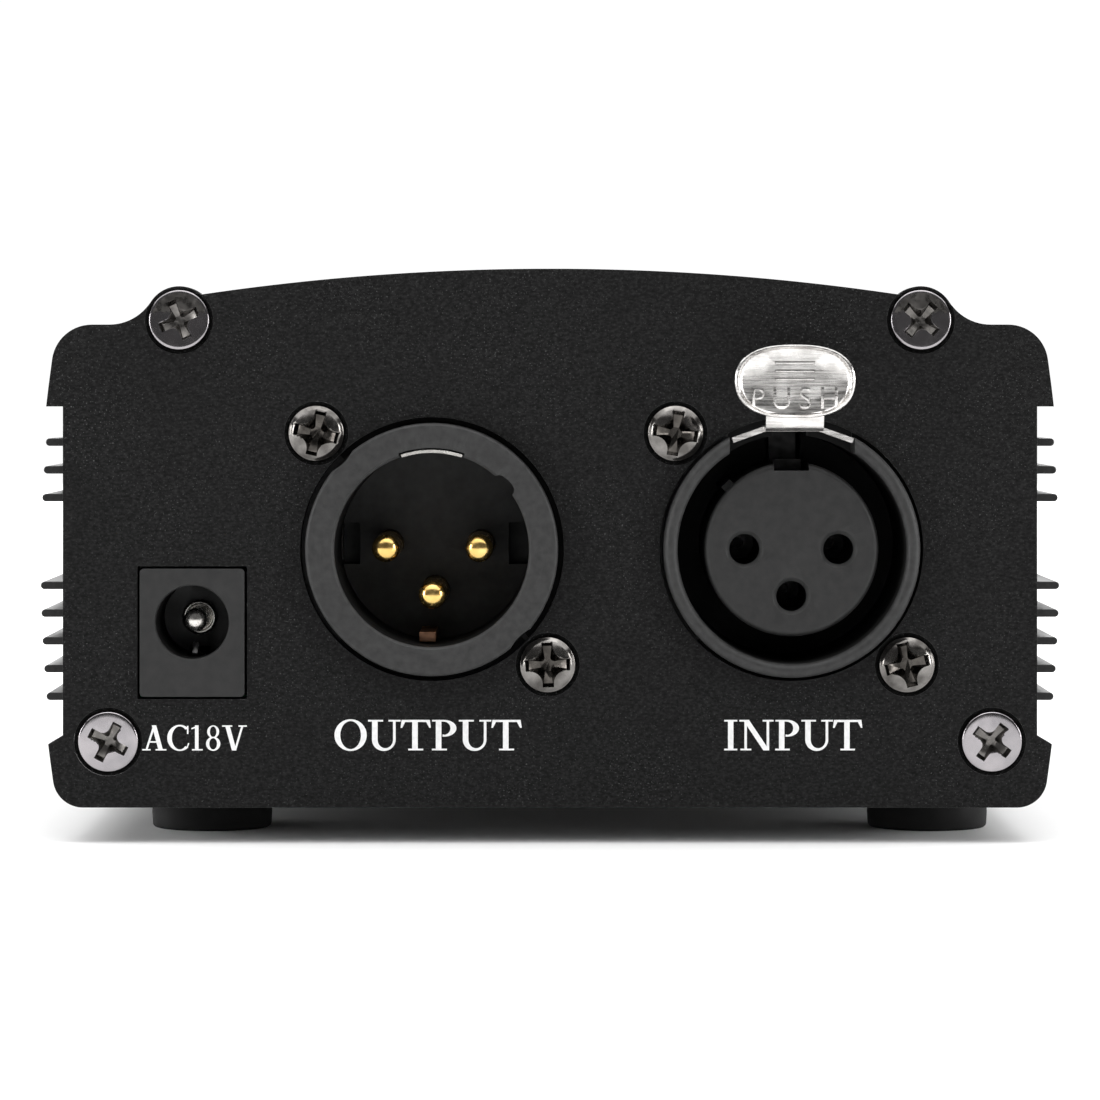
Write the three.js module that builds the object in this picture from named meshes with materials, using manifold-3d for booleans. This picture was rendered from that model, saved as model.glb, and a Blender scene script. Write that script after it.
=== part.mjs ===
// A small direct injection box: a finned, extruded aluminium case closed by two end plates.
// The rear plate carries a low-voltage power inlet, a male XLR output and a female XLR input with
// a push latch. The front plate carries an instrument jack, two rotary controls, two push
// switches and a pilot lamp. Millimetres, +Z up, rear plate towards -Y, origin under the centre
// of the bounding box, on the surface that the rubber feet stand on.
import * as THREE from "three";
import { mergeVertices } from "three/addons/utils/BufferGeometryUtils.js";
import Module from "manifold-3d";

const wasm = await Module();
wasm.setup();

// ---------------------------------------------------------------- driving dimensions

const GAP = 0.3; // left between pieces that touch on the real object
const PAST = 1; // cutters run this far past the faces that they open
const BITE = 0.1; // bodies that are joined sink this far into each other
const PLATE_T = 2.5; // end plate thickness
const BODY_LENGTH = 110; // length of the extrusion
const REAR_REACH = 6.4; // the latch tab, in front of the rear plate
const FRONT_REACH = 16.5; // the knobs, in front of the front plate
const CASE_LENGTH = BODY_LENGTH + 2 * PLATE_T;
const REAR_FACE = -(CASE_LENGTH + REAR_REACH + FRONT_REACH) / 2 + REAR_REACH;
const FRONT_FACE = REAR_FACE + CASE_LENGTH;

// Case section: a shallow arched roof, bulging sides, and a boss at each upper corner.
const BASE_Z = 3.1; // underside of the end plates
const ROOF_Z = 49.5; // top of the arch
const ROOF_R = 204;
const SIDE_X = 44.1; // widest point of the sides
const SIDE_R = 127;
const SIDE_MID_Z = 23.8; // height of the widest point
const SHOULDER_Z = 44.65; // the flat beside each upper boss
const SHOULDER_R = 3.45;
const BASE_R = 2.6;
const SADDLE_R = 4.2; // hollow between shoulder and boss
const RECESS_X = 41.9; // end plates stand back to here beside the fins
const RECESS_Z = [8.55, 37.6];
const RECESS_STEP = 0.75; // the plates' recess starts this much higher than the extrusion's
const SIDE_RUN = 1.8; // bulging side that shows above and below the recess
const SHOULDER_T = 2; // thickness under the shoulders
const CEILING_EDGE = 27.5; // half width of the arched ceiling between them
const SPLIT_Z = 25.9; // where the two half shells meet
const TONGUE = { height: 1.5, thickness: 0.75 }; // lower shell's lip inside the upper one
const BODY_INSET = 0.3; // the extrusion is this much smaller than the plates
const WALL = 1.9;

const FIN_T = 0.66;
const FIN_PITCH = 2.4;
const FIN_ROWS = [
  { first: 12.5, count: 5 },
  { first: 29.7, count: 3 },
];

// Screws: raised countersunk heads, as shares of the head's radius, with a cross recess.
const SCREW = { dome: 0.55, crownR: 0.72, crownY: 0.6, tip: 0.4, point: 1, armHalf: 0.36, deep: 0.7 };
const SINK_EASE = 0.25; // a countersink's mouth is this much wider than the head

// Plate screws: upper pair in the roof bosses, lower pair near the base corners.
const UPPER_SCREW = { x: 31.9, z: 45.05, boss: 2.9 };
const LOWER_SCREW = { x: 38, z: 8.77, boss: 2.6 };
const PLATE_SCREW = { head: 2.6, shank: 1.3, length: 9, slot: 2.9 };
const BOSS_BORE = PLATE_SCREW.shank + GAP;

// Circuit board, held in a slot along each side wall.
const BOARD = {
  top: 12.55,
  thickness: 1.6,
  half: 39.6,
  slot: 40.1,
  slack: 0.2, // under the board in its slot
  from: 3.5,
  to: 109,
  lift: 0.2, // under the parts that stand on it
};
const BOARD_BOTTOM = BOARD.top - BOARD.thickness;
const BOARD_RIB = { reach: 2, root: 1, height: 1.2 };
const LEG_END = BOARD_BOTTOM - 1.2; // soldered legs stand this far through the board

// XLR connectors: the shells pass through round holes and are screwed on from the front.
const XLR_Z = 25.34;
const OUTPUT_X = -10.15;
const INPUT_X = 20.75;
const XLR = {
  hole: 11.35,
  lip: 1.8, // shell in front of the plate
  flange: 12.6, // half width
  flangeT: 3,
  depth: 18,
  body: 11.7,
  ease: 0.4,
  standInset: 3, // the flat foot behind the flange, which stands on the board
  standHeight: 5,
  screw: 9.95, // screws at plus and minus this, on one diagonal
  headroom: 3.5, // cut away around each screw's head
  contactR: 4.04,
};
const XLR_SCREW = { head: 2.42, shank: 1.15, length: 7, slot: 2.9 };
const TAIL = { r: 0.6, half: 0.4, turns: [20.2, 22.6, 21.4] }; // turns: y where each turns down
const MALE = {
  outer: 10.85,
  bore: 8.35,
  chamfer: 0.3,
  cup: 12.4, // depth of the cup, back to the insert's face
  seat: 9.8,
  pin: 1.2,
  tip: 0.9,
  nose: { r: 0.65, y: 0.25, length: 1.1 },
  keyway: { from: 36, to: 48, depth: 0.6 }, // degrees
  relief: { from: 71, to: 109, depth: 0.5, end: 9 },
  strip: { from: 73, to: 107, over: 0.2, under: 0.1, y0: -1, y1: 8.7 }, // catches the plug's latch
  pocket: { from: 6.9, to: 8.2, half: 1.9, depth: 2.6 },
  tab: { x0: -1.3, x1: 0.3, y0: 3, z0: -7.9, z1: -7.1 },
};
const FEMALE = {
  outer: 11,
  bore: 9.8,
  chamfer: 0.35,
  insert: 7.5,
  ease: 0.45,
  face: 0.4,
  flange: 14.2,
  hole: 1.32,
  gate: { from: 8, to: 12, back: 3.2 }, // the latch's gap in the rim
  armTop: 11.1,
  slotFloor: 6.75, // the hook's slot in the insert
  deepFloor: 3.8,
  deepFrom: 6,
  rib: { root: 1, out: 0.8, front: 0.2, half: 0.55, angle: 135 },
  socket: { outer: 1.65, bore: 1.25, y0: 2, y1: 16, boreEnd: 13, well: 1.95, wellFrom: 1.6 },
};

// The push latch rocks on the upper edge of the input's panel hole.
const LATCH = {
  low: 10.15, // underside of the arm, above the connector's axis
  sheet: 0.45,
  neck: 2.45, // half width
  neckBack: 1.4,
  wing: 5.1,
  wingDrop: 1.1,
  wingBack: -0.4,
  arm: 1.2, // half width
  back: 16.75,
  hookY: 7,
  hookTop: 8.1,
  returnLow: 5.9,
  hookT: 1,
  tabT: 0.7,
  tabHalf: 5.1,
  tabBottom: 11.3,
  tabTop: 17.55,
  lowerR: 2.4, // the tab's lower corners
  upperR: 2,
  upperDrop: 2.9, // from the tab's top to the centres of its upper corners
  crownR: 9,
};

// Power inlet.
const INLET = {
  x: -30.77,
  z: 18.15,
  w: 9,
  h: 11,
  slack: 0.2, // around it in the plate
  proud: 0.25,
  depth: 14,
  up: 0.9, // the bore's axis above the body's middle
  bore: 3.15,
  boreDepth: 9.2,
  step: { from: 3.5, height: 1.6 }, // lower top behind the face
  channel: { half: 0.9, from: 4, low: 4.4, high: 2.6, tailFrom: 12.3, tailTop: 3 },
};
const INLET_PIN = { r: 1, tip: 3, noseR: 0.6, nose: 0.15, shoulder: 0.7, collar: 0.5, past: 1.5 };
const INLET_SPRING = { half: 0.6, from: 5, to: 13, t: 0.3, drop: 3.4, lip: 2.9, end: 2.6 };

// Front controls, as x and z on the plate. Jack and switches stand on the board.
const JACK = {
  x: 28,
  z: 20.6,
  out: 4, // bush in front of the plate
  bush: 4.7,
  bushEase: 0.5,
  bore: 3.3,
  mouth: 0.4,
  depth: 24,
  back: 1,
  half: 7.8,
  slot: { half: 1.5, from: 8, top: 6.4 },
};
const JACK_NUT = { flats: 13, front: -2.4, back: -0.6, washer: 6.9, washerFront: -0.7, washerBack: -0.1 };
const JACK_SPRING = { half: 1, from: 10, past: 2, z0: 5.4, z1: 5.8, t: 0.4, dip: 3.5, y: 17, dipTo: 19.5 };
const GAIN = { x: 6, z: 30 };
const LEVEL = { x: -16.5, z: 30 };
const POT = {
  can: 8.2,
  canBack: 11,
  bush: 4.4,
  bushFront: -5,
  base: 6.5, // half width of the square base
  baseT: 1,
  shaft: 3,
  shaftFront: -14,
  shaftBack: 9,
  shaftRoom: 0.5, // behind the shaft's end
  hole: 4.7,
  bracket: { half: 5, from: 5, to: 6.6, top: -4 },
};
const POT_NUT = { flats: 11.4, front: -2.3, back: -0.3 };
const SHAFT_FLAT = { x: 1.6, back: -6 };
const KNOB = {
  r: 9,
  front: -FRONT_REACH,
  back: -1.6,
  face: 2.2, // the face's radius is this much less
  brow: [1.2, 0.8], // in from the radius, back from the face
  skirt: [0.4, 3], // in from the radius, forward from the back
  rim: 2.6,
  flutes: 8,
  fluteR: 0.8,
  fluteIn: 0.5,
  hollow: 7.3, // radius, over the bush and the nut
  hollowFront: -6,
  socketFront: -14.4,
  socketBack: -5,
  flat: { x: 2, back: -5.5 },
  pointer: { half: 0.4, depth: 0.4, from: 2 },
};
const WIDE = 4; // half width of the cutters for the shaft's flat
const BUTTONS = { phantom: -34, pad: -26 };
const BUTTON_Z = 16.45;
const BUTTON = { half: 3.2, ease: 0.5, out: 3.2, back: 5, stem: 1.5, stemEnd: 12 };
const SWITCH = { half: 3.6, from: 9, to: 20, socketEnd: 16 };
const LED = {
  x: -30,
  z: 30,
  r: 1.5,
  dome: [1.3, 1, 0.7], // tip and brow in front of the plate, and the brow's share of the radius
  rim: 0.4,
  rimFrom: 3.4,
  rimTo: 4.4,
  leg: 8,
  legPitch: 1.27,
  legHalf: 0.25,
};

// Feet, as stuck on by hand: the left pair stands a little further in than the right pair.
const FOOT = {
  r: 5.35,
  round: 0.5,
  draft: 0.2,
  left: -30.2,
  right: 33.7,
  inset: 16,
  top: BASE_Z + BODY_INSET,
};

// Parts that stand on the board.
const REGULATOR = { y: 5, legX: 34.9, legHalf: 0.35, pitch: 2.54, z: 18, half: 5, body: 9, plate: 15.5 };
const REGULATOR_BODY = { from: 5, to: 0.5, plateT: 1.3, hole: 1.8, holeZ: 12.5, holeReach: 3 };
const TRANSFORMER = { x: -4, y: -12, w: 26, d: 20, h: 22, overhang: 3, leg: 3.6, window: 5.2 };
const CAPACITOR = { r: 5, ease: 0.3, beadFrom: 1.6, beadTo: 2.2, height: 17 };
const CAPACITORS = [
  { name: "filter_capacitor_1", x: -29, y: -32 },
  { name: "filter_capacitor_2", x: -29, y: -18 },
];
const HOLE = { tail: 0.7, spring: 1, springY: 12.85, lamp: 1.2 }; // half widths, in the board

// ---------------------------------------------------------------- materials

const finish = (color, roughness, metalness) =>
  new THREE.MeshStandardMaterial({ color, roughness, metalness });
const ANODISED = finish(0x1d1d1e, 0.5, 0.5);
const PAINTED = finish(0x1a1a1b, 0.6, 0.3);
const BLACK_NICKEL = finish(0x6b6866, 0.28, 1);
const NYLON = finish(0x2b2b2c, 0.5, 0);
const DARK_NYLON = finish(0x161617, 0.55, 0);
const NICKEL = finish(0xd0ccc6, 0.3, 1);
const GOLD = finish(0xe0b45c, 0.25, 1);
const BRONZE = finish(0x9a6a4c, 0.35, 1);
const RUBBER = finish(0x101010, 0.9, 0);
const BOARD_GREEN = finish(0x14452c, 0.5, 0);
const STEEL = finish(0xa8a8aa, 0.35, 1);
const CORE_STEEL = finish(0x4c4c50, 0.5, 0.8);
const WINDING = finish(0xb0783a, 0.5, 0.3);
const CAN = finish(0x20283c, 0.4, 0.2);
const LAMP = finish(0xb01818, 0.2, 0);
const KNOB_BLACK = finish(0x151515, 0.4, 0);
const CAP_GREY = finish(0xbdbdbd, 0.5, 0);

// ---------------------------------------------------------------- solids

// A closed three.js geometry as a solid, faces turned outwards.
function solid(geometry) {
  const bare = new THREE.BufferGeometry();
  bare.setAttribute("position", geometry.getAttribute("position"));
  bare.setIndex(geometry.index);
  const merged = mergeVertices(bare, 1e-4);
  const source = merged.index.array;
  const kept = [];
  for (let i = 0; i < source.length; i += 3) {
    const [a, b, c] = [source[i], source[i + 1], source[i + 2]];
    if (a !== b && b !== c && c !== a) kept.push([a, b, c]);
  }
  const make = (triangles) =>
    new wasm.Manifold(
      new wasm.Mesh({
        numProp: 3,
        vertProperties: new Float32Array(merged.getAttribute("position").array),
        triVerts: new Uint32Array(triangles.flat()),
      }),
    );
  const made = make(kept);
  return made.volume() < 0 ? make(kept.map(([a, b, c]) => [a, c, b])) : made;
}

function box(x0, x1, y0, y1, z0, z1) {
  const geometry = new THREE.BoxGeometry(x1 - x0, y1 - y0, z1 - z0);
  return solid(geometry.translate((x0 + x1) / 2, (y0 + y1) / 2, (z0 + z1) / 2));
}

// Turned about the Y axis from [radius, y] points. A profile off the axis closes on itself.
function turned(profile, segments = 32) {
  const closed = profile[0][0] > 0 ? [...profile, profile[0]] : profile;
  const points = closed.map(([r, y]) => new THREE.Vector2(r, y));
  return solid(new THREE.LatheGeometry(points, segments));
}

// A plain round bar along Y.
function rod(r, y0, y1, segments = 32) {
  return turned([[0, y0], [r, y0], [r, y1], [0, y1]], segments);
}

function tube(outer, inner, y0, y1, segments = 32) {
  return turned([[inner, y0], [outer, y0], [outer, y1], [inner, y1]], segments);
}

// An outline of [x, z] points, extruded from y0 to y1.
function prism(outline, y0, y1) {
  const shape = new THREE.Shape(outline.map(([x, z]) => new THREE.Vector2(x, z)));
  const geometry = new THREE.ExtrudeGeometry(shape, { depth: y1 - y0, bevelEnabled: false });
  return solid(geometry.rotateX(Math.PI / 2).translate(0, y1, 0));
}

const join = (first, ...others) => others.reduce((made, other) => made.add(other), first);
const cut = (first, ...tools) => tools.reduce((made, tool) => made.subtract(tool), first);

// Points of an arc in the XZ plane, from one angle to the other in degrees.
function arc(cx, cz, r, from, to, steps) {
  return Array.from({ length: steps + 1 }, (_, i) => {
    const a = THREE.MathUtils.degToRad(from + ((to - from) * i) / steps);
    return [cx + r * Math.cos(a), cz + r * Math.sin(a)];
  });
}

const span = (a, b) => [Math.min(a, b), Math.max(a, b)];
const angleOf = (x, z) => THREE.MathUtils.radToDeg(Math.atan2(z, x));
const mirrored = (half) => [...half, ...half.map(([x, z]) => [-x, z]).reverse()];

function hexagon(flats) {
  return arc(0, 0, flats / Math.sqrt(3), 30, 330, 5);
}

const root = new THREE.Group();

// Adds a solid as a named mesh at a place in the part's frame.
function place(name, made, material, [x, y, z] = [0, 0, 0], parent = root) {
  const { vertProperties, triVerts } = made.getMesh();
  const geometry = new THREE.BufferGeometry();
  geometry.setAttribute("position", new THREE.BufferAttribute(vertProperties, 3));
  geometry.setIndex(new THREE.BufferAttribute(triVerts, 1));
  geometry.computeVertexNormals();
  const mesh = new THREE.Mesh(geometry, material);
  mesh.name = name;
  mesh.position.set(x, y, z);
  parent.add(mesh);
}

// ---------------------------------------------------------------- case

const sideCentre = (inset) => SIDE_X - inset - (SIDE_R - inset);

// x on the bulging side at a height.
function sideAt(z, inset = 0) {
  const r = SIDE_R - inset;
  return sideCentre(inset) + Math.sqrt(r * r - (z - SIDE_MID_Z) ** 2);
}

// A rounded corner between the bulging side and a level edge at height z.
// up is 1 for an upper corner and -1 for a lower one.
function sideCorner(z, r, up, inset) {
  const cz = z - up * r;
  const reach = SIDE_R - inset - r;
  const cx = sideCentre(inset) + Math.sqrt(reach * reach - (cz - SIDE_MID_Z) ** 2);
  const lean = angleOf(cx - sideCentre(inset), cz - SIDE_MID_Z);
  return up > 0 ? arc(cx, cz, r, lean, 90, 6) : arc(cx, cz, r, -90, lean, 6);
}

// The part of the side that shows between two heights.
function sideArc(z0, z1, inset, steps) {
  return Array.from({ length: steps + 1 }, (_, i) => {
    const z = z0 + ((z1 - z0) * i) / steps;
    return [sideAt(z, inset), z];
  });
}

// Shoulder, saddle, boss and roof, from the outer corner to the middle of the arch.
function roofHalf(inset) {
  const shoulder = SHOULDER_Z - inset;
  const boss = UPPER_SCREW.boss - inset;
  const saddle = SADDLE_R + inset;
  const rise = shoulder + saddle - UPPER_SCREW.z;
  const reach = Math.sqrt((saddle + boss) ** 2 - rise * rise);
  const lean = angleOf(reach, rise);
  const saddleArc = arc(UPPER_SCREW.x + reach, shoulder + saddle, saddle, 270, 180 + lean, 4);
  const roofR = ROOF_R - inset;
  const roofCentre = ROOF_Z - ROOF_R;
  // The boss and the arch cross where both circles hold.
  const [dx, dz] = [UPPER_SCREW.x, UPPER_SCREW.z - roofCentre];
  const apart = Math.hypot(dx, dz);
  const toCross = (boss * boss - roofR * roofR + apart * apart) / (2 * apart);
  const half = THREE.MathUtils.radToDeg(Math.acos(toCross / boss));
  const crossing = angleOf(-dx, -dz) + 360 - half;
  const bossArc = arc(UPPER_SCREW.x, UPPER_SCREW.z, boss, lean, crossing, 9).slice(1);
  const [crossX] = bossArc.at(-1);
  const start = THREE.MathUtils.radToDeg(Math.acos(crossX / roofR));
  const roof = arc(0, roofCentre, roofR, start, 90, 7).slice(1, -1);
  return [...saddleArc, ...bossArc, ...roof];
}

// Right half of the case section, from the base upwards. beside gives the points next to the
// recess: a plain step on the end plates, fins on the extrusion.
function sectionHalf(inset, beside) {
  const [low, high] = RECESS_Z;
  return [
    ...sideCorner(BASE_Z + inset, BASE_R, -1, inset),
    ...sideArc(low - SIDE_RUN, low, inset, 2),
    ...beside,
    ...sideArc(high, high + SIDE_RUN, inset, 2),
    ...sideCorner(SHOULDER_Z - inset, SHOULDER_R, 1, inset),
    ...roofHalf(inset),
  ];
}

const recessStep = [
  [RECESS_X, RECESS_Z[0] + RECESS_STEP],
  [RECESS_X, RECESS_Z[1]],
];

function finPoints(z) {
  const [wall, tip] = [RECESS_X - BODY_INSET, sideAt(z)];
  const [half, ease] = [FIN_T / 2, FIN_T / 3];
  return [
    [wall, z - half],
    [tip - ease, z - half],
    [tip, z - half + ease],
    [tip, z + half - ease],
    [tip - ease, z + half],
    [wall, z + half],
  ];
}

function caseBody() {
  const wallX = RECESS_X - BODY_INSET;
  const fins = FIN_ROWS.flatMap(({ first, count }) =>
    Array.from({ length: count }, (_, i) => finPoints(first + i * FIN_PITCH)).flat(),
  );
  const beside = [[wallX, RECESS_Z[0]], ...fins, [wallX, RECESS_Z[1]]];
  const y0 = REAR_FACE + PLATE_T;
  const y1 = y0 + BODY_LENGTH;
  const [past0, past1] = [y0 - PAST, y1 + PAST];
  const shell = prism(mirrored(sectionHalf(BODY_INSET, beside)), y0, y1);
  const inner = wallX - WALL;
  const floor = BASE_Z + BODY_INSET + WALL;
  const roofR = ROOF_R - BODY_INSET - WALL;
  const start = THREE.MathUtils.radToDeg(Math.acos(CEILING_EDGE / roofR));
  const hollow = prism(
    mirrored([
      [inner, floor],
      [inner, SHOULDER_Z - 2 * SHOULDER_T],
      [inner - SHOULDER_T, SHOULDER_Z - SHOULDER_T],
      [CEILING_EDGE, SHOULDER_Z - SHOULDER_T],
      ...arc(0, ROOF_Z - ROOF_R, roofR, start, 90, 6).slice(0, -1),
    ]),
    past0,
    past1,
  );
  const bosses = [-1, 1].flatMap((side) =>
    [UPPER_SCREW, LOWER_SCREW].map(({ x, z, boss }) =>
      rod(boss - BODY_INSET, y0, y1, 16).translate([side * x, 0, z]),
    ),
  );
  const ribs = [-1, 1].map((side) => {
    const { reach, root: rootT, height } = BOARD_RIB;
    const [x0, x1] = span(side * (inner - reach), side * (inner + rootT));
    return box(x0, x1, y0, y1, BOARD.top + GAP, BOARD.top + GAP + height);
  });
  const bores = [-1, 1].flatMap((side) =>
    [UPPER_SCREW, LOWER_SCREW].map(({ x, z }) =>
      rod(BOSS_BORE, past0, past1, 10).translate([side * x, 0, z]),
    ),
  );
  const slotBottom = BOARD_BOTTOM - BOARD.slack;
  const slot = box(-BOARD.slot, BOARD.slot, past0, past1, slotBottom, BOARD.top + GAP);
  const body = cut(join(cut(shell, hollow), ...bosses, ...ribs), ...bores, slot);
  // Everything below the split, tongue included, grown by half the gap or shrunk by it.
  const below = (grow) =>
    join(
      box(-SIDE_X - PAST, SIDE_X + PAST, past0, past1, 0, SPLIT_Z + grow),
      ...[-1, 1].map((side) => {
        const [x0, x1] = span(side * (inner - PAST), side * (inner + TONGUE.thickness + grow));
        return box(x0, x1, past0, past1, SPLIT_Z - PAST, SPLIT_Z + TONGUE.height + grow);
      }),
    );
  place("lower_shell", body.intersect(below(-GAP / 2)), ANODISED);
  place("upper_shell", cut(body, below(GAP / 2)), ANODISED);
}

// Countersunk hole from the outer face at y = 0 through a plate.
function countersink({ head, shank }) {
  const [mouth, bore] = [head + SINK_EASE, shank + GAP];
  const through = PLATE_T + PAST;
  return turned(
    [[0, -PAST], [mouth, -PAST], [mouth, 0], [bore, mouth - bore], [bore, through], [0, through]],
    14,
  );
}

// The end plate's blank, outer face at y = 0, with its four corner countersinks.
function plateBlank() {
  const corners = [-1, 1].flatMap((side) =>
    [UPPER_SCREW, LOWER_SCREW].map(({ x, z }) => countersink(PLATE_SCREW).translate([side * x, 0, z])),
  );
  return cut(prism(mirrored(sectionHalf(0, recessStep)), 0, PLATE_T), ...corners);
}

function rearPlate() {
  const holes = [OUTPUT_X, INPUT_X].flatMap((x) => [
    rod(XLR.hole, -PAST, PLATE_T + PAST, 40).translate([x, 0, XLR_Z]),
    ...[-1, 1].map((side) =>
      countersink(XLR_SCREW).translate([x + side * XLR.screw, 0, XLR_Z - side * XLR.screw]),
    ),
  ]);
  const [w, h] = [INLET.w / 2 + INLET.slack, INLET.h / 2 + INLET.slack];
  const inlet = box(INLET.x - w, INLET.x + w, -PAST, PLATE_T + PAST, INLET.z - h, INLET.z + h);
  place("rear_plate", cut(plateBlank(), ...holes, inlet), PAINTED, [0, REAR_FACE, 0]);
}

// Everything on the front plate is built facing -Y, then the whole face is turned round.
const front = new THREE.Group();
front.rotation.z = Math.PI;
front.position.y = FRONT_FACE;
root.add(front);

function frontPlate() {
  const through = PLATE_T + PAST;
  const hole = (x, z, r, segments) => rod(r, -PAST, through, segments).translate([-x, 0, z]);
  const gap = BUTTON.half + GAP;
  const made = cut(
    plateBlank(),
    hole(JACK.x, JACK.z, JACK.bush + GAP, 20),
    hole(GAIN.x, GAIN.z, POT.hole, 20),
    hole(LEVEL.x, LEVEL.z, POT.hole, 20),
    hole(LED.x, LED.z, LED.r + GAP, 12),
    ...Object.values(BUTTONS).map((x) =>
      box(-x - gap, -x + gap, -PAST, through, BUTTON_Z - gap, BUTTON_Z + gap),
    ),
  );
  place("front_plate", made, PAINTED, [0, 0, 0], front);
}

// Raised countersunk screw with a cross recess, head flush at y = 0 and shank along +Y.
function screw({ head, shank, length, slot }, turn) {
  const { dome, crownR, crownY, tip, point, armHalf, deep } = SCREW;
  const body = turned(
    [
      [0, -dome],
      [head * crownR, -dome * crownY],
      [head, 0],
      [shank, head - shank],
      [shank, length - point],
      [shank * tip, length],
      [0, length],
    ],
    12,
  );
  const arm = slot / 2;
  const cross = join(
    box(-arm, arm, -dome - PAST, deep, -armHalf, armHalf),
    box(-armHalf, armHalf, -dome - PAST, deep, -arm, arm),
  ).rotate([0, turn, 0]);
  return cut(body, cross);
}

function plateScrews() {
  const turns = { upper_left: 15, upper_right: 45, lower_left: 32, lower_right: 22 };
  for (const [corner, turn] of Object.entries(turns)) {
    const { x, z } = corner.startsWith("upper") ? UPPER_SCREW : LOWER_SCREW;
    const side = corner.endsWith("left") ? -1 : 1;
    const at = screw(PLATE_SCREW, turn);
    place(`rear_screw_${corner}`, at, BLACK_NICKEL, [side * x, REAR_FACE, z]);
    place(`front_screw_${corner}`, at, BLACK_NICKEL, [side * x, 0, z], front);
  }
}

function feet() {
  const { r, round, draft, top } = FOOT;
  const profile = [[0, 0], [r - round, 0], [r, round], [r - draft, top], [0, top]];
  const foot = turned(profile, 20).rotate([90, 0, 0]);
  const ends = { rear: REAR_FACE + FOOT.inset, front: FRONT_FACE - FOOT.inset };
  for (const [end, y] of Object.entries(ends))
    for (const side of ["left", "right"])
      place(`foot_${end}_${side}`, foot, RUBBER, [FOOT[side], y, 0]);
}

// ---------------------------------------------------------------- XLR connectors
// Built about the connector's axis, with y = 0 on the plate's outer face.

const flangeFrom = PLATE_T + GAP;
const flangeTo = flangeFrom + XLR.flangeT;
const contactPlaces = [
  [-XLR.contactR, 0],
  [XLR.contactR, 0],
  [0, -XLR.contactR],
];

// Clearance for the heads of the two screws, cut a little into the shell's lip.
function xlrScrewCuts() {
  return [-1, 1].flatMap((side) => {
    const [x, z] = [side * XLR.screw, -side * XLR.screw];
    return [
      rod(XLR.headroom, -XLR.lip - PAST, flangeFrom - BITE, 20).translate([x, 0, z]),
      rod(XLR_SCREW.shank + GAP, 0, XLR_SCREW.length + PAST, 10).translate([x, 0, z]),
    ];
  });
}

function xlrScrews(name, x) {
  const turns = { upper: name === "output" ? 6 : 2, lower: name === "output" ? 0 : 11 };
  for (const [end, turn] of Object.entries(turns)) {
    const side = end === "upper" ? -1 : 1;
    const at = [x + side * XLR.screw, REAR_FACE, XLR_Z - side * XLR.screw];
    place(`${name}_xlr_screw_${end}`, screw(XLR_SCREW, turn), BLACK_NICKEL, at);
  }
}

// Housing behind the plate: square flange and a round body with a flat that stands on the board.
function xlrHousing(outer) {
  const { lip, ease, flange: f, body, depth, standInset, standHeight } = XLR;
  return join(
    turned(
      [
        [0, -lip],
        [outer - ease, -lip],
        [outer, ease - lip],
        [outer, flangeFrom + BITE],
        [0, flangeFrom + BITE],
      ],
      36,
    ),
    box(-f, f, flangeFrom, flangeTo, -f, f),
    rod(body, flangeTo - BITE, depth, 24),
    box(standInset - f, f - standInset, flangeTo - BITE, depth, -f, standHeight - f),
  );
}

// A round contact along Y whose flat tail turns down into the board.
function tail(y0, turnY, z) {
  const { r, half } = TAIL;
  return join(
    rod(r, y0 - BITE, turnY + half, 8),
    box(-half, half, turnY - half, turnY + half, LEG_END - XLR_Z - z, 0),
  );
}

function outputXlr() {
  const at = [OUTPUT_X, REAR_FACE, XLR_Z];
  const { bore, chamfer, cup, seat } = MALE;
  const groove = ({ from, to, depth }, end, steps) =>
    prism(
      arc(0, 0, bore + depth, from, to, steps).concat(arc(0, 0, bore - PAST, to, from, steps)),
      -XLR.lip - PAST,
      end,
    );
  const shell = cut(
    xlrHousing(MALE.outer),
    turned(
      [
        [0, -XLR.lip - PAST],
        [bore + chamfer, -XLR.lip - PAST],
        [bore + chamfer, -XLR.lip],
        [bore, chamfer - XLR.lip],
        [bore, cup],
        [seat, cup],
        [seat, XLR.depth + PAST],
        [0, XLR.depth + PAST],
      ],
      36,
    ),
    ...xlrScrewCuts(),
    groove(MALE.keyway, cup, 3),
    groove(MALE.relief, MALE.relief.end, 6),
  );
  place("output_xlr_shell", shell, NYLON, at);

  const { pocket } = MALE;
  const pockets = [-1, 1].map((side) => {
    const [x0, x1] = span(side * pocket.from, side * pocket.to);
    return box(x0, x1, cup, cup + pocket.depth, -pocket.half, pocket.half);
  });
  const pinHole = rod(MALE.pin + GAP, cup, XLR.depth + PAST, 12);
  const insert = cut(
    rod(seat - GAP, cup + GAP, XLR.depth, 28),
    ...contactPlaces.map(([x, z]) => pinHole.translate([x, 0, z])),
    ...pockets,
  );
  place("output_xlr_insert", insert, DARK_NYLON, at);

  const { pin: r, tip, nose } = MALE;
  const pin = turned(
    [[0, tip], [r * nose.r, tip + nose.y], [r, tip + nose.length], [r, XLR.depth], [0, XLR.depth]],
    12,
  );
  contactPlaces.forEach(([x, z], i) => {
    const made = join(pin, tail(XLR.depth, TAIL.turns[i], z));
    place(`output_xlr_pin_${i + 1}`, made, GOLD, [at[0] + x, at[1], at[2] + z]);
  });

  const { tab, strip } = MALE;
  place("output_xlr_ground_tab", box(tab.x0, tab.x1, tab.y0, cup, tab.z0, tab.z1), BRONZE, at);
  const bent = [
    ...arc(0, 0, bore + strip.over, strip.from, strip.to, 6),
    ...arc(0, 0, bore - strip.under, strip.to, strip.from, 6),
  ];
  place("output_xlr_latch_plate", prism(bent, strip.y0, strip.y1), NICKEL, at);
  xlrScrews("output", OUTPUT_X);
}

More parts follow.
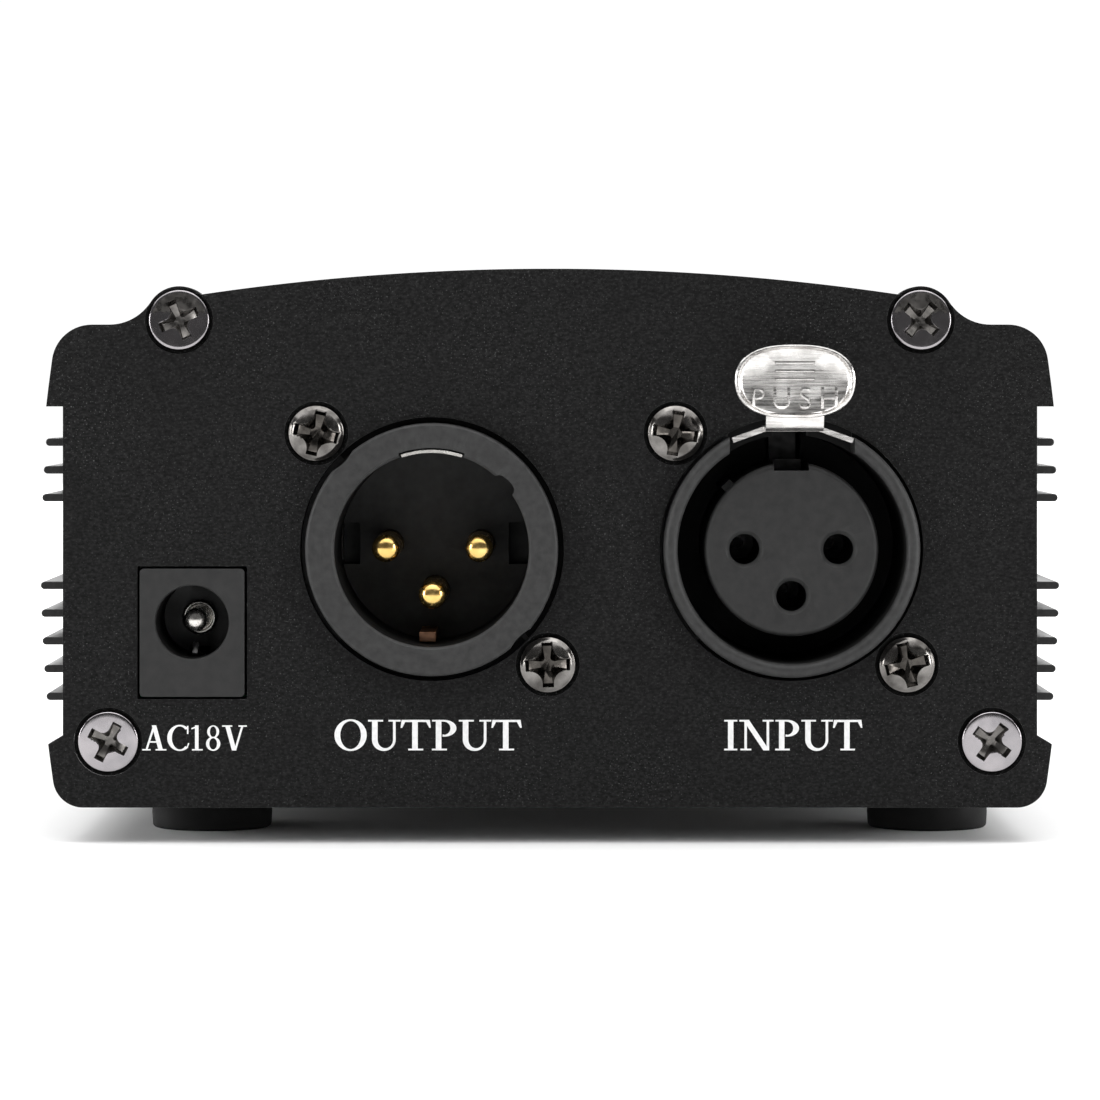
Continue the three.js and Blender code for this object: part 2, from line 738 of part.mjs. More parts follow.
function inputXlr() {
  const at = [INPUT_X, REAR_FACE, XLR_Z];
  const { bore, chamfer, insert: core, ease, face, flange, hole, gate, rib, socket } = FEMALE;
  const channel = LATCH.wing + GAP;
  const slotHalf = LATCH.arm + GAP;
  const past = XLR.depth + PAST;
  const shell = cut(
    xlrHousing(FEMALE.outer),
    turned(
      [
        [0, -XLR.lip - PAST],
        [bore + chamfer, -XLR.lip - PAST],
        [bore + chamfer, -XLR.lip],
        [bore, chamfer - XLR.lip],
        [bore, past],
        [0, past],
      ],
      40,
    ),
    ...xlrScrewCuts(),
    box(-channel, channel, -XLR.lip - PAST, gate.back, gate.from, gate.to),
    box(-slotHalf, slotHalf, gate.back - BITE, past, gate.from, FEMALE.armTop),
  );
  place("input_xlr_shell", shell, NYLON, at);

  const key = box(core - rib.root, core + rib.out, rib.front, flange + BITE, -rib.half, rib.half);
  const front = face + PAST;
  const insert = cut(
    turned(
      [
        [0, -face],
        [core - ease, -face],
        [core, ease - face],
        [core, flange],
        [bore - GAP, flange],
        [bore - GAP, XLR.depth],
        [0, XLR.depth],
      ],
      32,
    ),
    ...contactPlaces.flatMap(([x, z]) => [
      rod(hole, -front, socket.y0, 16).translate([x, 0, z]),
      rod(socket.well, socket.wellFrom, past, 10).translate([x, 0, z]),
    ]),
    box(-slotHalf, slotHalf, -front, FEMALE.deepFrom + PAST, FEMALE.slotFloor, gate.to),
    box(-slotHalf, slotHalf, FEMALE.deepFrom, past, FEMALE.deepFloor, gate.to),
  );
  place("input_xlr_insert", join(insert, key.rotate([0, -rib.angle, 0])), NYLON, at);

  const sleeve = cut(
    rod(socket.outer, socket.y0, socket.y1, 12),
    rod(socket.bore, socket.y0 - PAST, socket.boreEnd, 12),
  );
  contactPlaces.forEach(([x, z], i) => {
    const made = join(sleeve, tail(socket.y1, TAIL.turns[i], z));
    place(`input_xlr_contact_${i + 1}`, made, GOLD, [at[0] + x, at[1], at[2] + z]);
  });
  place("input_xlr_latch", latch(), NICKEL, at);
  xlrScrews("input", INPUT_X);
}

// One bent sheet: thumb tab, neck, two short wings, and an arm that doubles back under itself
// to a hook in the insert's slot.
function latch() {
  const { low, sheet, neck, neckBack, wing, wingDrop, wingBack, arm, back } = LATCH;
  const { hookY, hookT, hookTop, returnLow } = LATCH;
  const { tabT, tabHalf, tabBottom, tabTop, lowerR, upperR, upperDrop, crownR } = LATCH;
  const top = low + sheet;
  const [tabFront, tabBack] = [-REAR_REACH, tabT - REAR_REACH];
  const crownEnd = 66; // degrees, where the crown meets the upper corner
  const tab = prism(
    mirrored([
      [neck, tabBottom],
      ...arc(tabHalf - lowerR, tabBottom + lowerR, lowerR, -70, 0, 4),
      ...arc(tabHalf - upperR, tabTop - upperDrop, upperR, 0, crownEnd - 1, 4),
      ...arc(0, tabTop - crownR, crownR, crownEnd, 90, 4).slice(1, -1),
    ]),
    tabFront,
    tabBack,
  );
  const wings = [-1, 1].map((side) =>
    prism(
      [
        [side * (neck - 2 * BITE), low],
        [side * wing, low - wingDrop],
        [side * (wing + sheet / 3), low - wingDrop + sheet],
        [side * (neck - 2 * BITE), top],
      ],
      -XLR.lip,
      wingBack,
    ),
  );
  return join(
    tab,
    box(-neck, neck, tabFront + BITE, tabBack, low, tabBottom + 3 * BITE),
    box(-neck, neck, tabFront + BITE, neckBack, low, top),
    ...wings,
    box(-arm, arm, neckBack - BITE, back, low, top),
    box(-arm, arm, back - sheet, back, returnLow, top),
    box(-arm, arm, hookY, back, returnLow, returnLow + sheet),
    box(-arm, arm, hookY, hookY + hookT, returnLow, hookTop),
  );
}

// ---------------------------------------------------------------- power inlet

function powerInlet() {
  const at = [INLET.x, REAR_FACE, INLET.z];
  const { up, proud, bore, boreDepth, channel, step } = INLET;
  const [w, h, past] = [INLET.w / 2, INLET.h / 2, INLET.depth + PAST];
  const { half: slot, tailFrom, tailTop } = channel;
  const body = cut(
    box(-w, w, -proud, INLET.depth, -h, h),
    rod(bore, -PAST, boreDepth, 28).translate([0, 0, up]),
    rod(INLET_PIN.r + GAP, boreDepth - PAST, past, 12).translate([0, 0, up]),
    box(-slot, slot, channel.from, past, up - channel.low, up - channel.high),
    box(-slot, slot, tailFrom, past, -h - PAST, up - tailTop),
    box(-w - PAST, w + PAST, step.from, past, h - step.height, h + PAST),
  );
  place("power_jack_body", body, NYLON, at);

  const { r, tip, noseR, nose, shoulder, collar } = INLET_PIN;
  const end = INLET.depth + INLET_PIN.past;
  const pin = turned(
    [
      [0, tip],
      [r * noseR, tip + nose],
      [r, tip + shoulder],
      [r, boreDepth - collar],
      [r + collar, boreDepth - collar],
      [r + collar, boreDepth - BITE],
      [r, boreDepth - BITE],
      [r, end],
      [0, end],
    ],
    12,
  );
  place("power_jack_pin", pin, NICKEL, [at[0], at[1], at[2] + up]);

  const { half, from, to, t, drop, lip } = INLET_SPRING;
  const leafEnd = BOARD.top - INLET.z - INLET_SPRING.end;
  const leaf = join(
    box(-half, half, from, to, up - drop, up - drop + t),
    box(-half, half, from, from + t, up - drop, up - lip),
    box(-half, half, to - t, to, leafEnd, up - drop + t),
  );
  place("power_jack_spring", leaf, NICKEL, at);
}

// ---------------------------------------------------------------- front controls
// In the turned front group x runs the other way, y = 0 is the plate's outer face and +y is inwards.

function instrumentJack() {
  const at = [-JACK.x, 0, JACK.z];
  const { out, bush, bushEase, bore, mouth, depth, half, slot } = JACK;
  const inside = PLATE_T + GAP;
  const bottom = depth - JACK.back;
  const body = cut(
    join(
      turned(
        [[0, -out], [bush - bushEase, -out], [bush, bushEase - out], [bush, inside + BITE], [0, inside + BITE]],
        20,
      ),
      box(-half, half, inside, depth, -half, half),
    ),
    turned(
      [
        [0, -out - PAST],
        [bore + mouth, -out - PAST],
        [bore + mouth, -out],
        [bore, mouth - out],
        [bore, bottom],
        [0, bottom],
      ],
      20,
    ),
    box(-slot.half, slot.half, slot.from, depth + PAST, 0, slot.top),
  );
  place("instrument_jack_body", body, NYLON, at, front);

  const { flats, front: nutFront, back, washer, washerFront, washerBack } = JACK_NUT;
  const nut = cut(
    join(prism(hexagon(flats), nutFront, back), rod(washer, washerFront, washerBack, 20)),
    rod(bush + GAP, nutFront - PAST, PAST, 20),
  );
  place("instrument_jack_nut", nut, NICKEL, at, front);

  const { half: leaf, from, past, z0, z1, t, dip, y, dipTo } = JACK_SPRING;
  const spring = join(
    box(-leaf, leaf, from, depth + past, z0, z1),
    box(-leaf, leaf, y, y + t, dip, z0 + BITE),
    box(-leaf, leaf, y, dipTo, dip, dip + t),
  );
  place("instrument_jack_tip_spring", spring, NICKEL, at, front);
}

function rotaryControl(name, { x, z }) {
  const at = [-x, 0, z];
  const inside = PLATE_T + GAP;
  const { bush, bushFront, base, baseT, shaftFront, shaftBack, bracket } = POT;
  const body = cut(
    join(
      rod(bush, bushFront, inside + BITE, 14),
      box(-base, base, inside, inside + baseT, -base, base),
      rod(POT.can, inside + baseT - BITE, POT.canBack, 18),
      box(-bracket.half, bracket.half, bracket.from, bracket.to, BOARD.top + GAP - z, bracket.top),
    ),
    rod(POT.shaft + GAP, bushFront - PAST, shaftBack + POT.shaftRoom, 12),
  );
  place(`${name}_pot_body`, body, STEEL, at, front);
  const shaft = cut(
    rod(POT.shaft, shaftFront, shaftBack, 12),
    box(SHAFT_FLAT.x, WIDE, shaftFront - PAST, SHAFT_FLAT.back, -WIDE, WIDE),
  );
  place(`${name}_pot_shaft`, shaft, STEEL, at, front);
  const nut = cut(
    prism(hexagon(POT_NUT.flats), POT_NUT.front, POT_NUT.back),
    rod(bush + GAP, POT_NUT.front - PAST, PAST, 12),
  );
  place(`${name}_pot_nut`, nut, STEEL, at, front);
  place(`${name}_knob`, knob(), KNOB_BLACK, at, front);
}

// Fluted knob with a pointer line, hollow behind over the bush and nut.
function knob() {
  const { r, front: face, back, brow, skirt, rim, flutes, fluteR, fluteIn, flat, pointer } = KNOB;
  const blank = turned(
    [
      [0, face],
      [r - KNOB.face, face],
      [r - brow[0], face + brow[1]],
      [r - skirt[0], back - skirt[1]],
      [r, back - rim],
      [r, back],
      [0, back],
    ],
    24,
  );
  const fluteBack = back - (rim + skirt[1]) / 2;
  const cuts = Array.from({ length: flutes }, (_, i) => {
    const a = ((i + 0.5) * 2 * Math.PI) / flutes;
    const [x, z] = [(r - fluteIn) * Math.cos(a), (r - fluteIn) * Math.sin(a)];
    return rod(fluteR, face - PAST, fluteBack, 6).translate([x, 0, z]);
  });
  const socket = cut(
    rod(POT.shaft + GAP, KNOB.socketFront, KNOB.socketBack, 12),
    box(flat.x, WIDE, KNOB.socketFront - PAST, flat.back, -WIDE, WIDE),
  );
  return cut(
    blank,
    rod(KNOB.hollow, KNOB.hollowFront, back + PAST, 20),
    socket,
    box(-pointer.half, pointer.half, face - PAST, face + pointer.depth, pointer.from, r + PAST),
    ...cuts,
  );
}

function pushSwitches() {
  const { half, ease, out, back, stem, stemEnd } = BUTTON;
  const cap = join(
    box(-half + ease, half - ease, -out, back, -half, half),
    box(-half, half, -out + ease, back, -half + ease, half - ease),
    box(-stem, stem, back - BITE, stemEnd, -stem, stem),
  );
  const [gap, wide] = [stem + GAP, SWITCH.half];
  const body = cut(
    box(-wide, wide, SWITCH.from, SWITCH.to, -wide, wide),
    box(-gap, gap, SWITCH.from - PAST, SWITCH.socketEnd, -gap, gap),
  );
  for (const [name, x] of Object.entries(BUTTONS)) {
    const at = [-x, 0, BUTTON_Z];
    place(`${name}_button`, cap, CAP_GREY, at, front);
    place(`${name}_switch_body`, body, DARK_NYLON, at, front);
  }
}

// Domed lamp with a rim behind the plate and two legs that turn down into the board.
function pilotLamp() {
  const { r, z, dome, rim, rimFrom, rimTo, leg, legPitch, legHalf: half } = LED;
  const [tip, brow, browR] = dome;
  const lens = turned(
    [
      [0, -tip],
      [r * browR, -brow],
      [r, 0],
      [r, rimFrom],
      [r + rim, rimFrom],
      [r + rim, rimTo],
      [0, rimTo],
    ],
    14,
  );
  const legs = [-legPitch / 2, legPitch / 2].flatMap((x) => [
    box(x - half, x + half, rimTo - BITE, leg + half, -half, half),
    box(x - half, x + half, leg - half, leg + half, LEG_END - z, half),
  ]);
  place("pilot_lamp", join(lens, ...legs), LAMP, [-LED.x, 0, z], front);
}

// ---------------------------------------------------------------- inside

// Holes in the board for each tail that comes down through it.
function boardHoles() {
  const hole = (x, y, half) =>
    box(x - half, x + half, y - half, y + half, BOARD_BOTTOM - PAST, BOARD.top + PAST);
  const tails = [OUTPUT_X, INPUT_X].flatMap((x) =>
    contactPlaces.map(([dx], i) => hole(x + dx, REAR_FACE + TAIL.turns[i], HOLE.tail)),
  );
  const { legX, y, pitch } = REGULATOR;
  const legs = [-1, 0, 1].map((i) => hole(legX, y + i * pitch, HOLE.tail));
  const inlet = hole(INLET.x, REAR_FACE + HOLE.springY, HOLE.spring);
  const lamp = hole(LED.x, FRONT_FACE - LED.leg, HOLE.lamp);
  return [...tails, inlet, ...legs, lamp];
}

function circuitBoard() {
  const y0 = REAR_FACE + BOARD.from;
  const y1 = REAR_FACE + BOARD.to;
  const board = box(-BOARD.half, BOARD.half, y0, y1, BOARD_BOTTOM, BOARD.top);
  place("circuit_board", cut(board, ...boardHoles()), BOARD_GREEN);
}

// Core of stacked laminations with two windows, and the winding around its middle leg.
function transformer() {
  const { x, y, w, d, h, overhang, leg, window } = TRANSFORMER;
  const base = BOARD.top + BOARD.lift;
  const stack = d / 2 - overhang;
  const core = cut(
    box(-w / 2, w / 2, -stack, stack, 0, h),
    ...[-1, 1].map((side) => {
      const [x0, x1] = span(side * leg, side * (leg + window));
      return box(x0, x1, -d, d, leg, h - leg);
    }),
  );
  place("transformer_core", core, CORE_STEEL, [x, y, base]);
  const [out, keep] = [leg + window - GAP, leg + GAP];
  const coil = cut(
    box(-out, out, -d / 2, d / 2, keep, h - keep),
    box(-keep, keep, -stack - GAP, stack + GAP, 0, h),
  );
  place("transformer_winding", coil, WINDING, [x, y, base]);
}

function capacitors() {
  const { r, ease, beadFrom, beadTo, height } = CAPACITOR;
  const can = turned(
    [
      [0, 0],
      [r - ease, 0],
      [r, ease],
      [r, beadFrom],
      [r - ease, (beadFrom + beadTo) / 2],
      [r, beadTo],
      [r, height - ease],
      [r - ease, height],
      [0, height],
    ],
    12,
  ).rotate([90, 0, 0]);
  for (const { name, x, y } of CAPACITORS) place(name, can, CAN, [x, y, BOARD.top + BOARD.lift]);
}

// Regulator bolted flat to the finned wall, three legs down to the board.
function regulator() {
  const { y, legX, legHalf, pitch, z, half, body, plate } = REGULATOR;
  const { from, to, plateT, hole, holeZ, holeReach } = REGULATOR_BODY;
  const wall = RECESS_X - BODY_INSET - WALL - GAP;
  const legs = [-1, 0, 1].map((i) => {
    const mid = y + i * pitch;
    return box(legX - legHalf, legX + legHalf, mid - legHalf, mid + legHalf, LEG_END, z + BITE);
  });
  const bolt = rod(hole, -holeReach, holeReach, 16).rotate([0, 0, 90]).translate([wall, y, z + holeZ]);
  const made = join(
    box(wall - from, wall - to, y - half, y + half, z, z + body),
    cut(box(wall - plateT, wall, y - half, y + half, z, z + plate), bolt),
    ...legs,
  );
  place("voltage_regulator", made, DARK_NYLON);
}

caseBody();
rearPlate();
frontPlate();
plateScrews();
feet();
outputXlr();
inputXlr();
powerInlet();
instrumentJack();
rotaryControl("gain", GAIN);
rotaryControl("level", LEVEL);
pushSwitches();
pilotLamp();
circuitBoard();
transformer();
capacitors();
regulator();

export default root;
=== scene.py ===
"""The finished look of a small direct injection box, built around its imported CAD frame.

Pieces are modelled in millimetres, about the point where each one is fixed, and then placed in the
shared frame in metres. The rear plate faces -Y, so its pieces have y = 0 on the plate's outer face and
+y inwards. The front plate's pieces are made the same way and turned half round.
"""

import math
from collections import namedtuple

import bmesh
import bpy
from mathutils import Matrix, Vector


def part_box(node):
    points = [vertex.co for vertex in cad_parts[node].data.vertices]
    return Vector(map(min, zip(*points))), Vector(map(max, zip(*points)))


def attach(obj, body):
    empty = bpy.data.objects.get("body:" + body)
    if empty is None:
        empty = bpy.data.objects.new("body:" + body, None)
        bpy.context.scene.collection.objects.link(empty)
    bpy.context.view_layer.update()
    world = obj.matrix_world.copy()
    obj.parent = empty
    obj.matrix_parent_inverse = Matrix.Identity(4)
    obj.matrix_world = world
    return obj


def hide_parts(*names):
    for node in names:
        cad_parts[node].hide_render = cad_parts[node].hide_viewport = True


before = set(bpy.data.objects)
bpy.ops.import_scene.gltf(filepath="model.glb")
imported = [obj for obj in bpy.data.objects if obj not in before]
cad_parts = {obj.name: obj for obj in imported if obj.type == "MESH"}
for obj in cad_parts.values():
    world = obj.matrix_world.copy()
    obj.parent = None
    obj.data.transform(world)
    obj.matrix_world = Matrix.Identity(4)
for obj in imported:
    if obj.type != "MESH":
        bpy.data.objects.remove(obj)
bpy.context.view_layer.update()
MM = 0.001


def low(node):
    """The node's lowest corner in millimetres."""
    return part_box(node)[0] / MM


def high(node):
    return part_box(node)[1] / MM


def middle(node):
    return (low(node) + high(node)) / 2


REAR_Y = low("rear_plate").y
FRONT_Y = high("front_plate").y
PLATE_T = high("rear_plate").y - REAR_Y
BASE_Z = low("rear_plate").z
ROOF_Z = high("rear_plate").z
HALF_TURN = Matrix.Rotation(math.pi, 4, "Z")


def on_plate(node, face_y):
    """Where a node's axis along Y meets a plate's outer face."""
    spot = middle(node)
    return Vector((spot.x, face_y, spot.z))


OUTPUT = on_plate("output_xlr_shell", REAR_Y)
INPUT = on_plate("input_xlr_shell", REAR_Y)
INLET = on_plate("power_jack_body", REAR_Y)

# -------------------- shapes


def arc(cx, cz, r, start, end, steps):
    """Points of a circle from one angle to another, in degrees."""
    angles = [math.radians(start + (end - start) * i / steps) for i in range(steps + 1)]
    return [(cx + r * math.cos(a), cz + r * math.sin(a)) for a in angles]


def band(inner, outer, start, end):
    """Part of a ring about the origin."""
    return arc(0, 0, outer, start, end, 16) + arc(0, 0, inner, end, start, 16)


def mirrored(half):
    """A right half outline closed with its mirror image."""
    return half + [(-x, z) for x, z in reversed(half)]


def valley(half):
    """A right half that starts at the bottom, run on from its mirror image."""
    return [(-x, z) for x, z in reversed(half)] + half


def loft(outlines):
    """A closed solid through outlines of equal length, each a (y, [(x, z), ...])."""
    bm = bmesh.new()
    rings = [[bm.verts.new((x, y, z)) for x, z in points] for y, points in outlines]
    for a, b in zip(rings, rings[1:]):
        for i in range(len(a)):
            bm.faces.new((a[i - 1], a[i], b[i], b[i - 1]))
    bm.faces.new(rings[0])
    bm.faces.new(rings[-1])
    bmesh.ops.recalc_face_normals(bm, faces=bm.faces)
    return bm


def prism(outline, y0, y1):
    return loft([(y0, outline), (y1, outline)])


def rectangle(x0, x1, z0, z1):
    return [(x0, z0), (x1, z0), (x1, z1), (x0, z1)]


def block(x0, x1, y0, y1, z0, z1):
    return prism(rectangle(x0, x1, z0, z1), y0, y1)


def square_bar(half, y0, y1):
    return block(-half, half, y0, y1, -half, half)


def turned(profile, segments=96):
    """Turned about Y from (radius, y) points. A profile off the axis closes on itself."""
    bm = bmesh.new()
    rings = []
    for r, y in profile:
        count = segments if r > 1e-6 else 1
        turns = [2 * math.pi * i / count for i in range(count)]
        rings.append([bm.verts.new((r * math.cos(t), y, r * math.sin(t))) for t in turns])
    if profile[0][0] > 1e-6:
        rings.append(rings[0])
    for a, b in zip(rings, rings[1:]):
        for i in range(segments):
            j = (i + 1) % segments
            loop = (a[i % len(a)], a[j % len(a)], b[j % len(b)], b[i % len(b)])
            corners = list(dict.fromkeys(loop))
            if len(corners) > 2:
                bm.faces.new(corners)
    bmesh.ops.recalc_face_normals(bm, faces=bm.faces)
    return bm


def rod(r, y0, y1, segments=64):
    return turned([(0, y0), (r, y0), (r, y1), (0, y1)], segments)


def ribbon(path, thickness):
    """The outline of a strip of even thickness that follows a path, with a mitre at each bend."""
    sides = ([], [])
    runs = [(Vector(b) - Vector(a)).normalized() for a, b in zip(path, path[1:])]
    for i, point in enumerate(path):
        before, after = runs[max(i - 1, 0)], runs[min(i, len(runs) - 1)]
        along = (before + after).normalized()
        for side, points in zip((-1, 1), sides):
            step = side * thickness / 2 / along.dot(before)
            points.append((point[0] - along.y * step, point[1] + along.x * step))
    return sides[0] + sides[1][::-1]


def across(outline, x0, x1):
    """An outline of (y, z) points, extruded along X."""
    bm = prism(outline, x0, x1)
    bm.transform(Matrix(((0, 1, 0, 0), (1, 0, 0, 0), (0, 0, 1, 0), (0, 0, 0, 1))))
    bmesh.ops.recalc_face_normals(bm, faces=bm.faces)
    return bm


def upright(bm):
    """Turns a solid made about Y so that its y runs up."""
    bm.transform(Matrix.Rotation(math.pi / 2, 4, "X"))
    return bm


def moved(bm, x=0.0, y=0.0, z=0.0, turn=0.0):
    """Turns a solid about Y by degrees, then moves it."""
    spin = Matrix.Rotation(math.radians(-turn), 4, "Y")
    bm.transform(Matrix.Translation((x, y, z)) @ spin)
    return bm


def merged(solids):
    """One mesh that holds several solids, which are used up."""
    bm = bmesh.new()
    for solid in solids:
        scrap = bpy.data.meshes.new("scrap")
        solid.to_mesh(scrap)
        solid.free()
        bm.from_mesh(scrap)
        bpy.data.meshes.remove(scrap)
    return bm


def linked(name, data):
    """A new object that shows the data."""
    made = bpy.data.objects.new(name, data)
    bpy.context.scene.collection.objects.link(made)
    return made


def as_object(name, bm):
    mesh = bpy.data.meshes.new(name)
    bm.to_mesh(mesh)
    bm.free()
    return linked(name, mesh)


def with_settings(made, settings):
    """A modifier, node or curve with its settings made."""
    for key, value in settings.items():
        setattr(made, key, value)
    return made


def settle(obj):
    """Applies the object's modifiers."""
    graph = bpy.context.evaluated_depsgraph_get()
    mesh = bpy.data.meshes.new_from_object(obj.evaluated_get(graph))
    obj.modifiers.clear()
    old = obj.data
    obj.data = mesh
    bpy.data.meshes.remove(old)


def combined(name, first, others, operation):
    """A solid with others added to it or cut out of it."""
    base = as_object(name, first)
    tool = as_object("tool", merged(others))
    change = {"operation": operation, "solver": "EXACT", "use_self": True, "object": tool}
    with_settings(base.modifiers.new("change", "BOOLEAN"), change)
    settle(base)
    bpy.data.objects.remove(tool)
    bm = bmesh.new()
    bm.from_mesh(base.data)
    bpy.data.objects.remove(base)
    bmesh.ops.remove_doubles(bm, verts=bm.verts, dist=1e-4)
    return bm


def cut(solid, *tools):
    return combined("cut", solid, tools, "DIFFERENCE")


def joined(solid, *others):
    return combined("joined", solid, others, "UNION")


def piece(
    name, bm, finishes, at=(0, 0, 0), spin=None, ease=0.0, steps=2, angle=32, body="case", inside=None
):
    """A finished piece in the shared frame. ease is the bevel on its edges, in millimetres. A second
    finish goes on that bevel, or inside(middle) gives the number of each face's finish."""
    made = as_object(name, bm)
    for finish in finishes:
        made.data.materials.append(finish)
    if ease:
        bevel = {"width": ease, "segments": steps, "limit_method": "ANGLE"}
        bevel |= {"angle_limit": math.radians(angle), "material": -1 if inside else len(finishes) - 1}
        with_settings(made.modifiers.new("ease", "BEVEL"), bevel)
        settle(made)
    if inside:
        for face in made.data.polygons:
            face.material_index = int(inside(face.center))
    place = Matrix.Translation(Vector(at) * MM) @ (spin or Matrix.Identity(4))
    made.data.transform(place @ Matrix.Scale(MM, 4))
    made.data.shade_smooth()
    made.data.set_sharp_from_angle(angle=math.radians(angle))
    flat = made.modifiers.new("flat", "WEIGHTED_NORMAL")
    flat.keep_sharp = True
    settle(made)
    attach(made, body)
    return made


def fitted(node, slot, *details, **more):
    """A piece that stands for one CAD node."""
    made = piece(*details, **more)
    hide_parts(node)


# -------------------- finishes


class Finish:
    """A procedural material. Grain sizes are in millimetres."""

    def __init__(self, name, metallic=0.0, specular=0.5):
        self.material = bpy.data.materials.new(name)
        self.material.use_nodes = True
        self.tree = self.material.node_tree
        self.shader = self.tree.nodes["Principled BSDF"]
        self.shader.inputs["Metallic"].default_value = metallic
        self.shader.inputs["Specular IOR Level"].default_value = specular
        self.place = self.node("TexCoord").outputs["Object"]

    def node(self, kind, inputs=(), **settings):
        """A new shader node. inputs are the values of its sockets, by name or number."""
        made = with_settings(self.tree.nodes.new("ShaderNode" + kind), settings)
        for key, value in dict(inputs).items():
            made.inputs[key].default_value = value
        return made

    def link(self, source, target):
        self.tree.links.new(source, target)

    def noise(self, grain, detail=3.0, stretch=(1, 1, 1)):
        """Soft noise whose features are about grain millimetres, longer where stretch is small."""
        mapping = self.node("Mapping", {"Scale": stretch})
        texture = self.node("TexNoise", {"Scale": 1 / (grain * MM), "Detail": detail})
        self.link(self.place, mapping.inputs["Vector"])
        self.link(mapping.outputs["Vector"], texture.inputs["Vector"])
        return texture.outputs["Fac"]

    def ramp(self, value, stops):
        """Colours along a value, as (place, grey or (r, g, b)) stops."""
        made = self.node("ValToRGB")
        elements = made.color_ramp.elements
        while len(elements) < len(stops):
            elements.new(0.5)
        for element, (at, colour) in zip(elements, stops):
            element.position = at
            rgb = colour if isinstance(colour, tuple) else (colour,) * 3
            element.color = (*rgb, 1)
        self.link(value, made.inputs["Fac"])
        return made.outputs["Color"]

    def span(self, value, start, end, inner=(0.3, 0.7)):
        """Stretches the inner part of a value over start to end."""
        ends = zip(("From Min", "From Max", "To Min", "To Max"), (*inner, start, end))
        made = self.node("MapRange", ends)
        self.link(value, made.inputs["Value"])
        return made.outputs["Result"]

    def mix(self, share, first, second):
        made = self.node("Mix", data_type="RGBA")
        self.link(share, made.inputs["Factor"])
        self.link(first, made.inputs[6])
        self.link(second, made.inputs[7])
        return made.outputs[2]

    def colour(self, source):
        self.link(source, self.shader.inputs["Base Color"])

    def roughness(self, value, start, end):
        self.link(self.span(value, start, end), self.shader.inputs["Roughness"])

    def relief(self, height, microns, strength=0.6):
        made = self.node("Bump", {"Strength": strength, "Distance": microns * 1e-6})
        self.link(height, made.inputs["Height"])
        self.link(made.outputs["Normal"], self.shader.inputs["Normal"])


def moulded(name, dark, light, rough, grain=0.25, microns=12, specular=0.5):
    """Moulded or painted stuff: a mottled colour over a fine texture."""
    made = Finish(name, specular=specular)
    made.colour(made.ramp(made.noise(grain * 3, 4), [(0.3, dark), (0.7, light)]))
    made.roughness(made.noise(grain * 6, 2), rough - 0.06, rough + 0.08)
    made.relief(made.noise(grain, 4), microns)
    return made.material


def plated(name, dark, light, rough, grain=0.5, stretch=(1, 1, 1), microns=3):
    """Plated or polished metal: a slightly uneven film over fine marks."""
    made = Finish(name, metallic=1.0)
    made.colour(made.ramp(made.noise(grain * 3, 3), [(0.35, dark), (0.65, light)]))
    made.roughness(made.noise(grain, 3, stretch), rough * 0.7, rough * 1.4)
    made.relief(made.noise(grain * 0.4, 3, stretch), microns, 0.4)
    return made.material


def brushed(name, dark, light, rough):
    """Plated sheet with brush marks along X and a cloudy film."""
    made = Finish(name, metallic=1.0)
    strokes, cloud = made.noise(0.16, 5, (0.05, 1, 1)), made.noise(1.6, 3)
    share = made.node("Math", {1: 0.6}, operation="MULTIPLY_ADD")
    made.link(strokes, share.inputs[0])
    made.link(made.span(cloud, 0.05, 0.35), share.inputs[2])
    made.colour(made.ramp(share.outputs["Value"], [(0.36, dark), (0.62, light)]))
    made.roughness(strokes, rough * 0.7, rough * 1.4)
    made.relief(strokes, 14, 0.5)
    return made.material


def speckled_coat():
    """Matt black powder coat: fine pimples, and a few lighter flecks painted into its colour as glints
    where the coat catches the light.
    """
    made = Finish("speckled_coat", specular=0.13)
    base = made.ramp(made.noise(0.2, 5, (0.6, 1, 1)), [(0.3, 0.001), (0.5, 0.005), (0.7, 0.0135)])
    # Painted highlight: these flecks are glints painted as a lighter colour, not a real shine.
    glint_fleck = made.ramp(made.noise(0.15, 2), [(0.63, 0.0), (0.7, 1.0)])
    bright = made.ramp(made.noise(9, 2), [(0.4, 0.03), (0.7, 0.085)])
    made.colour(made.mix(glint_fleck, base, bright))
    made.roughness(made.noise(0.4, 3), 0.55, 0.75)
    made.relief(made.noise(0.22, 3), 26, 0.7)
    return made.material


def worn_and_highlit_edge():
    """The coat on an edge: thinner and greyer, lighter still as a painted highlight, and rubbed through to
    bare metal here and there, most of all at the lower left corner of the rear plate, where the bare
    patch is partly real wear and partly a painted highlight."""
    made = Finish("worn_and_highlit_edge", specular=0.4)
    worn_lit_corner = Vector((low("rear_plate").x + 1, REAR_Y, BASE_Z + 1.5)) * MM
    distance = made.node("VectorMath", {1: worn_lit_corner}, operation="DISTANCE")
    made.link(made.place, distance.inputs[0])
    near = made.span(distance.outputs["Value"], 0.28, 0.0, inner=(0.003, 0.008))
    add = made.node("Math", operation="ADD")
    made.link(made.noise(0.7, 4), add.inputs[0])
    made.link(near, add.inputs[1])
    # The bare patch is partly real wear and partly a painted highlight near the lower left corner; the edge
    # coat's lighter grey is partly a painted highlight too.
    bare = made.ramp(add.outputs["Value"], [(0.66, 0.0), (0.72, 1.0)])
    coat = made.ramp(made.noise(0.3, 3), [(0.3, 0.016), (0.7, 0.045)])
    metal = made.ramp(made.noise(0.25, 3), [(0.3, 0.16), (0.7, 0.42)])
    made.colour(made.mix(bare, coat, metal))
    made.roughness(made.noise(0.3, 3), 0.42, 0.62)
    made.relief(add.outputs["Value"], 20, 0.5)
    return made.material


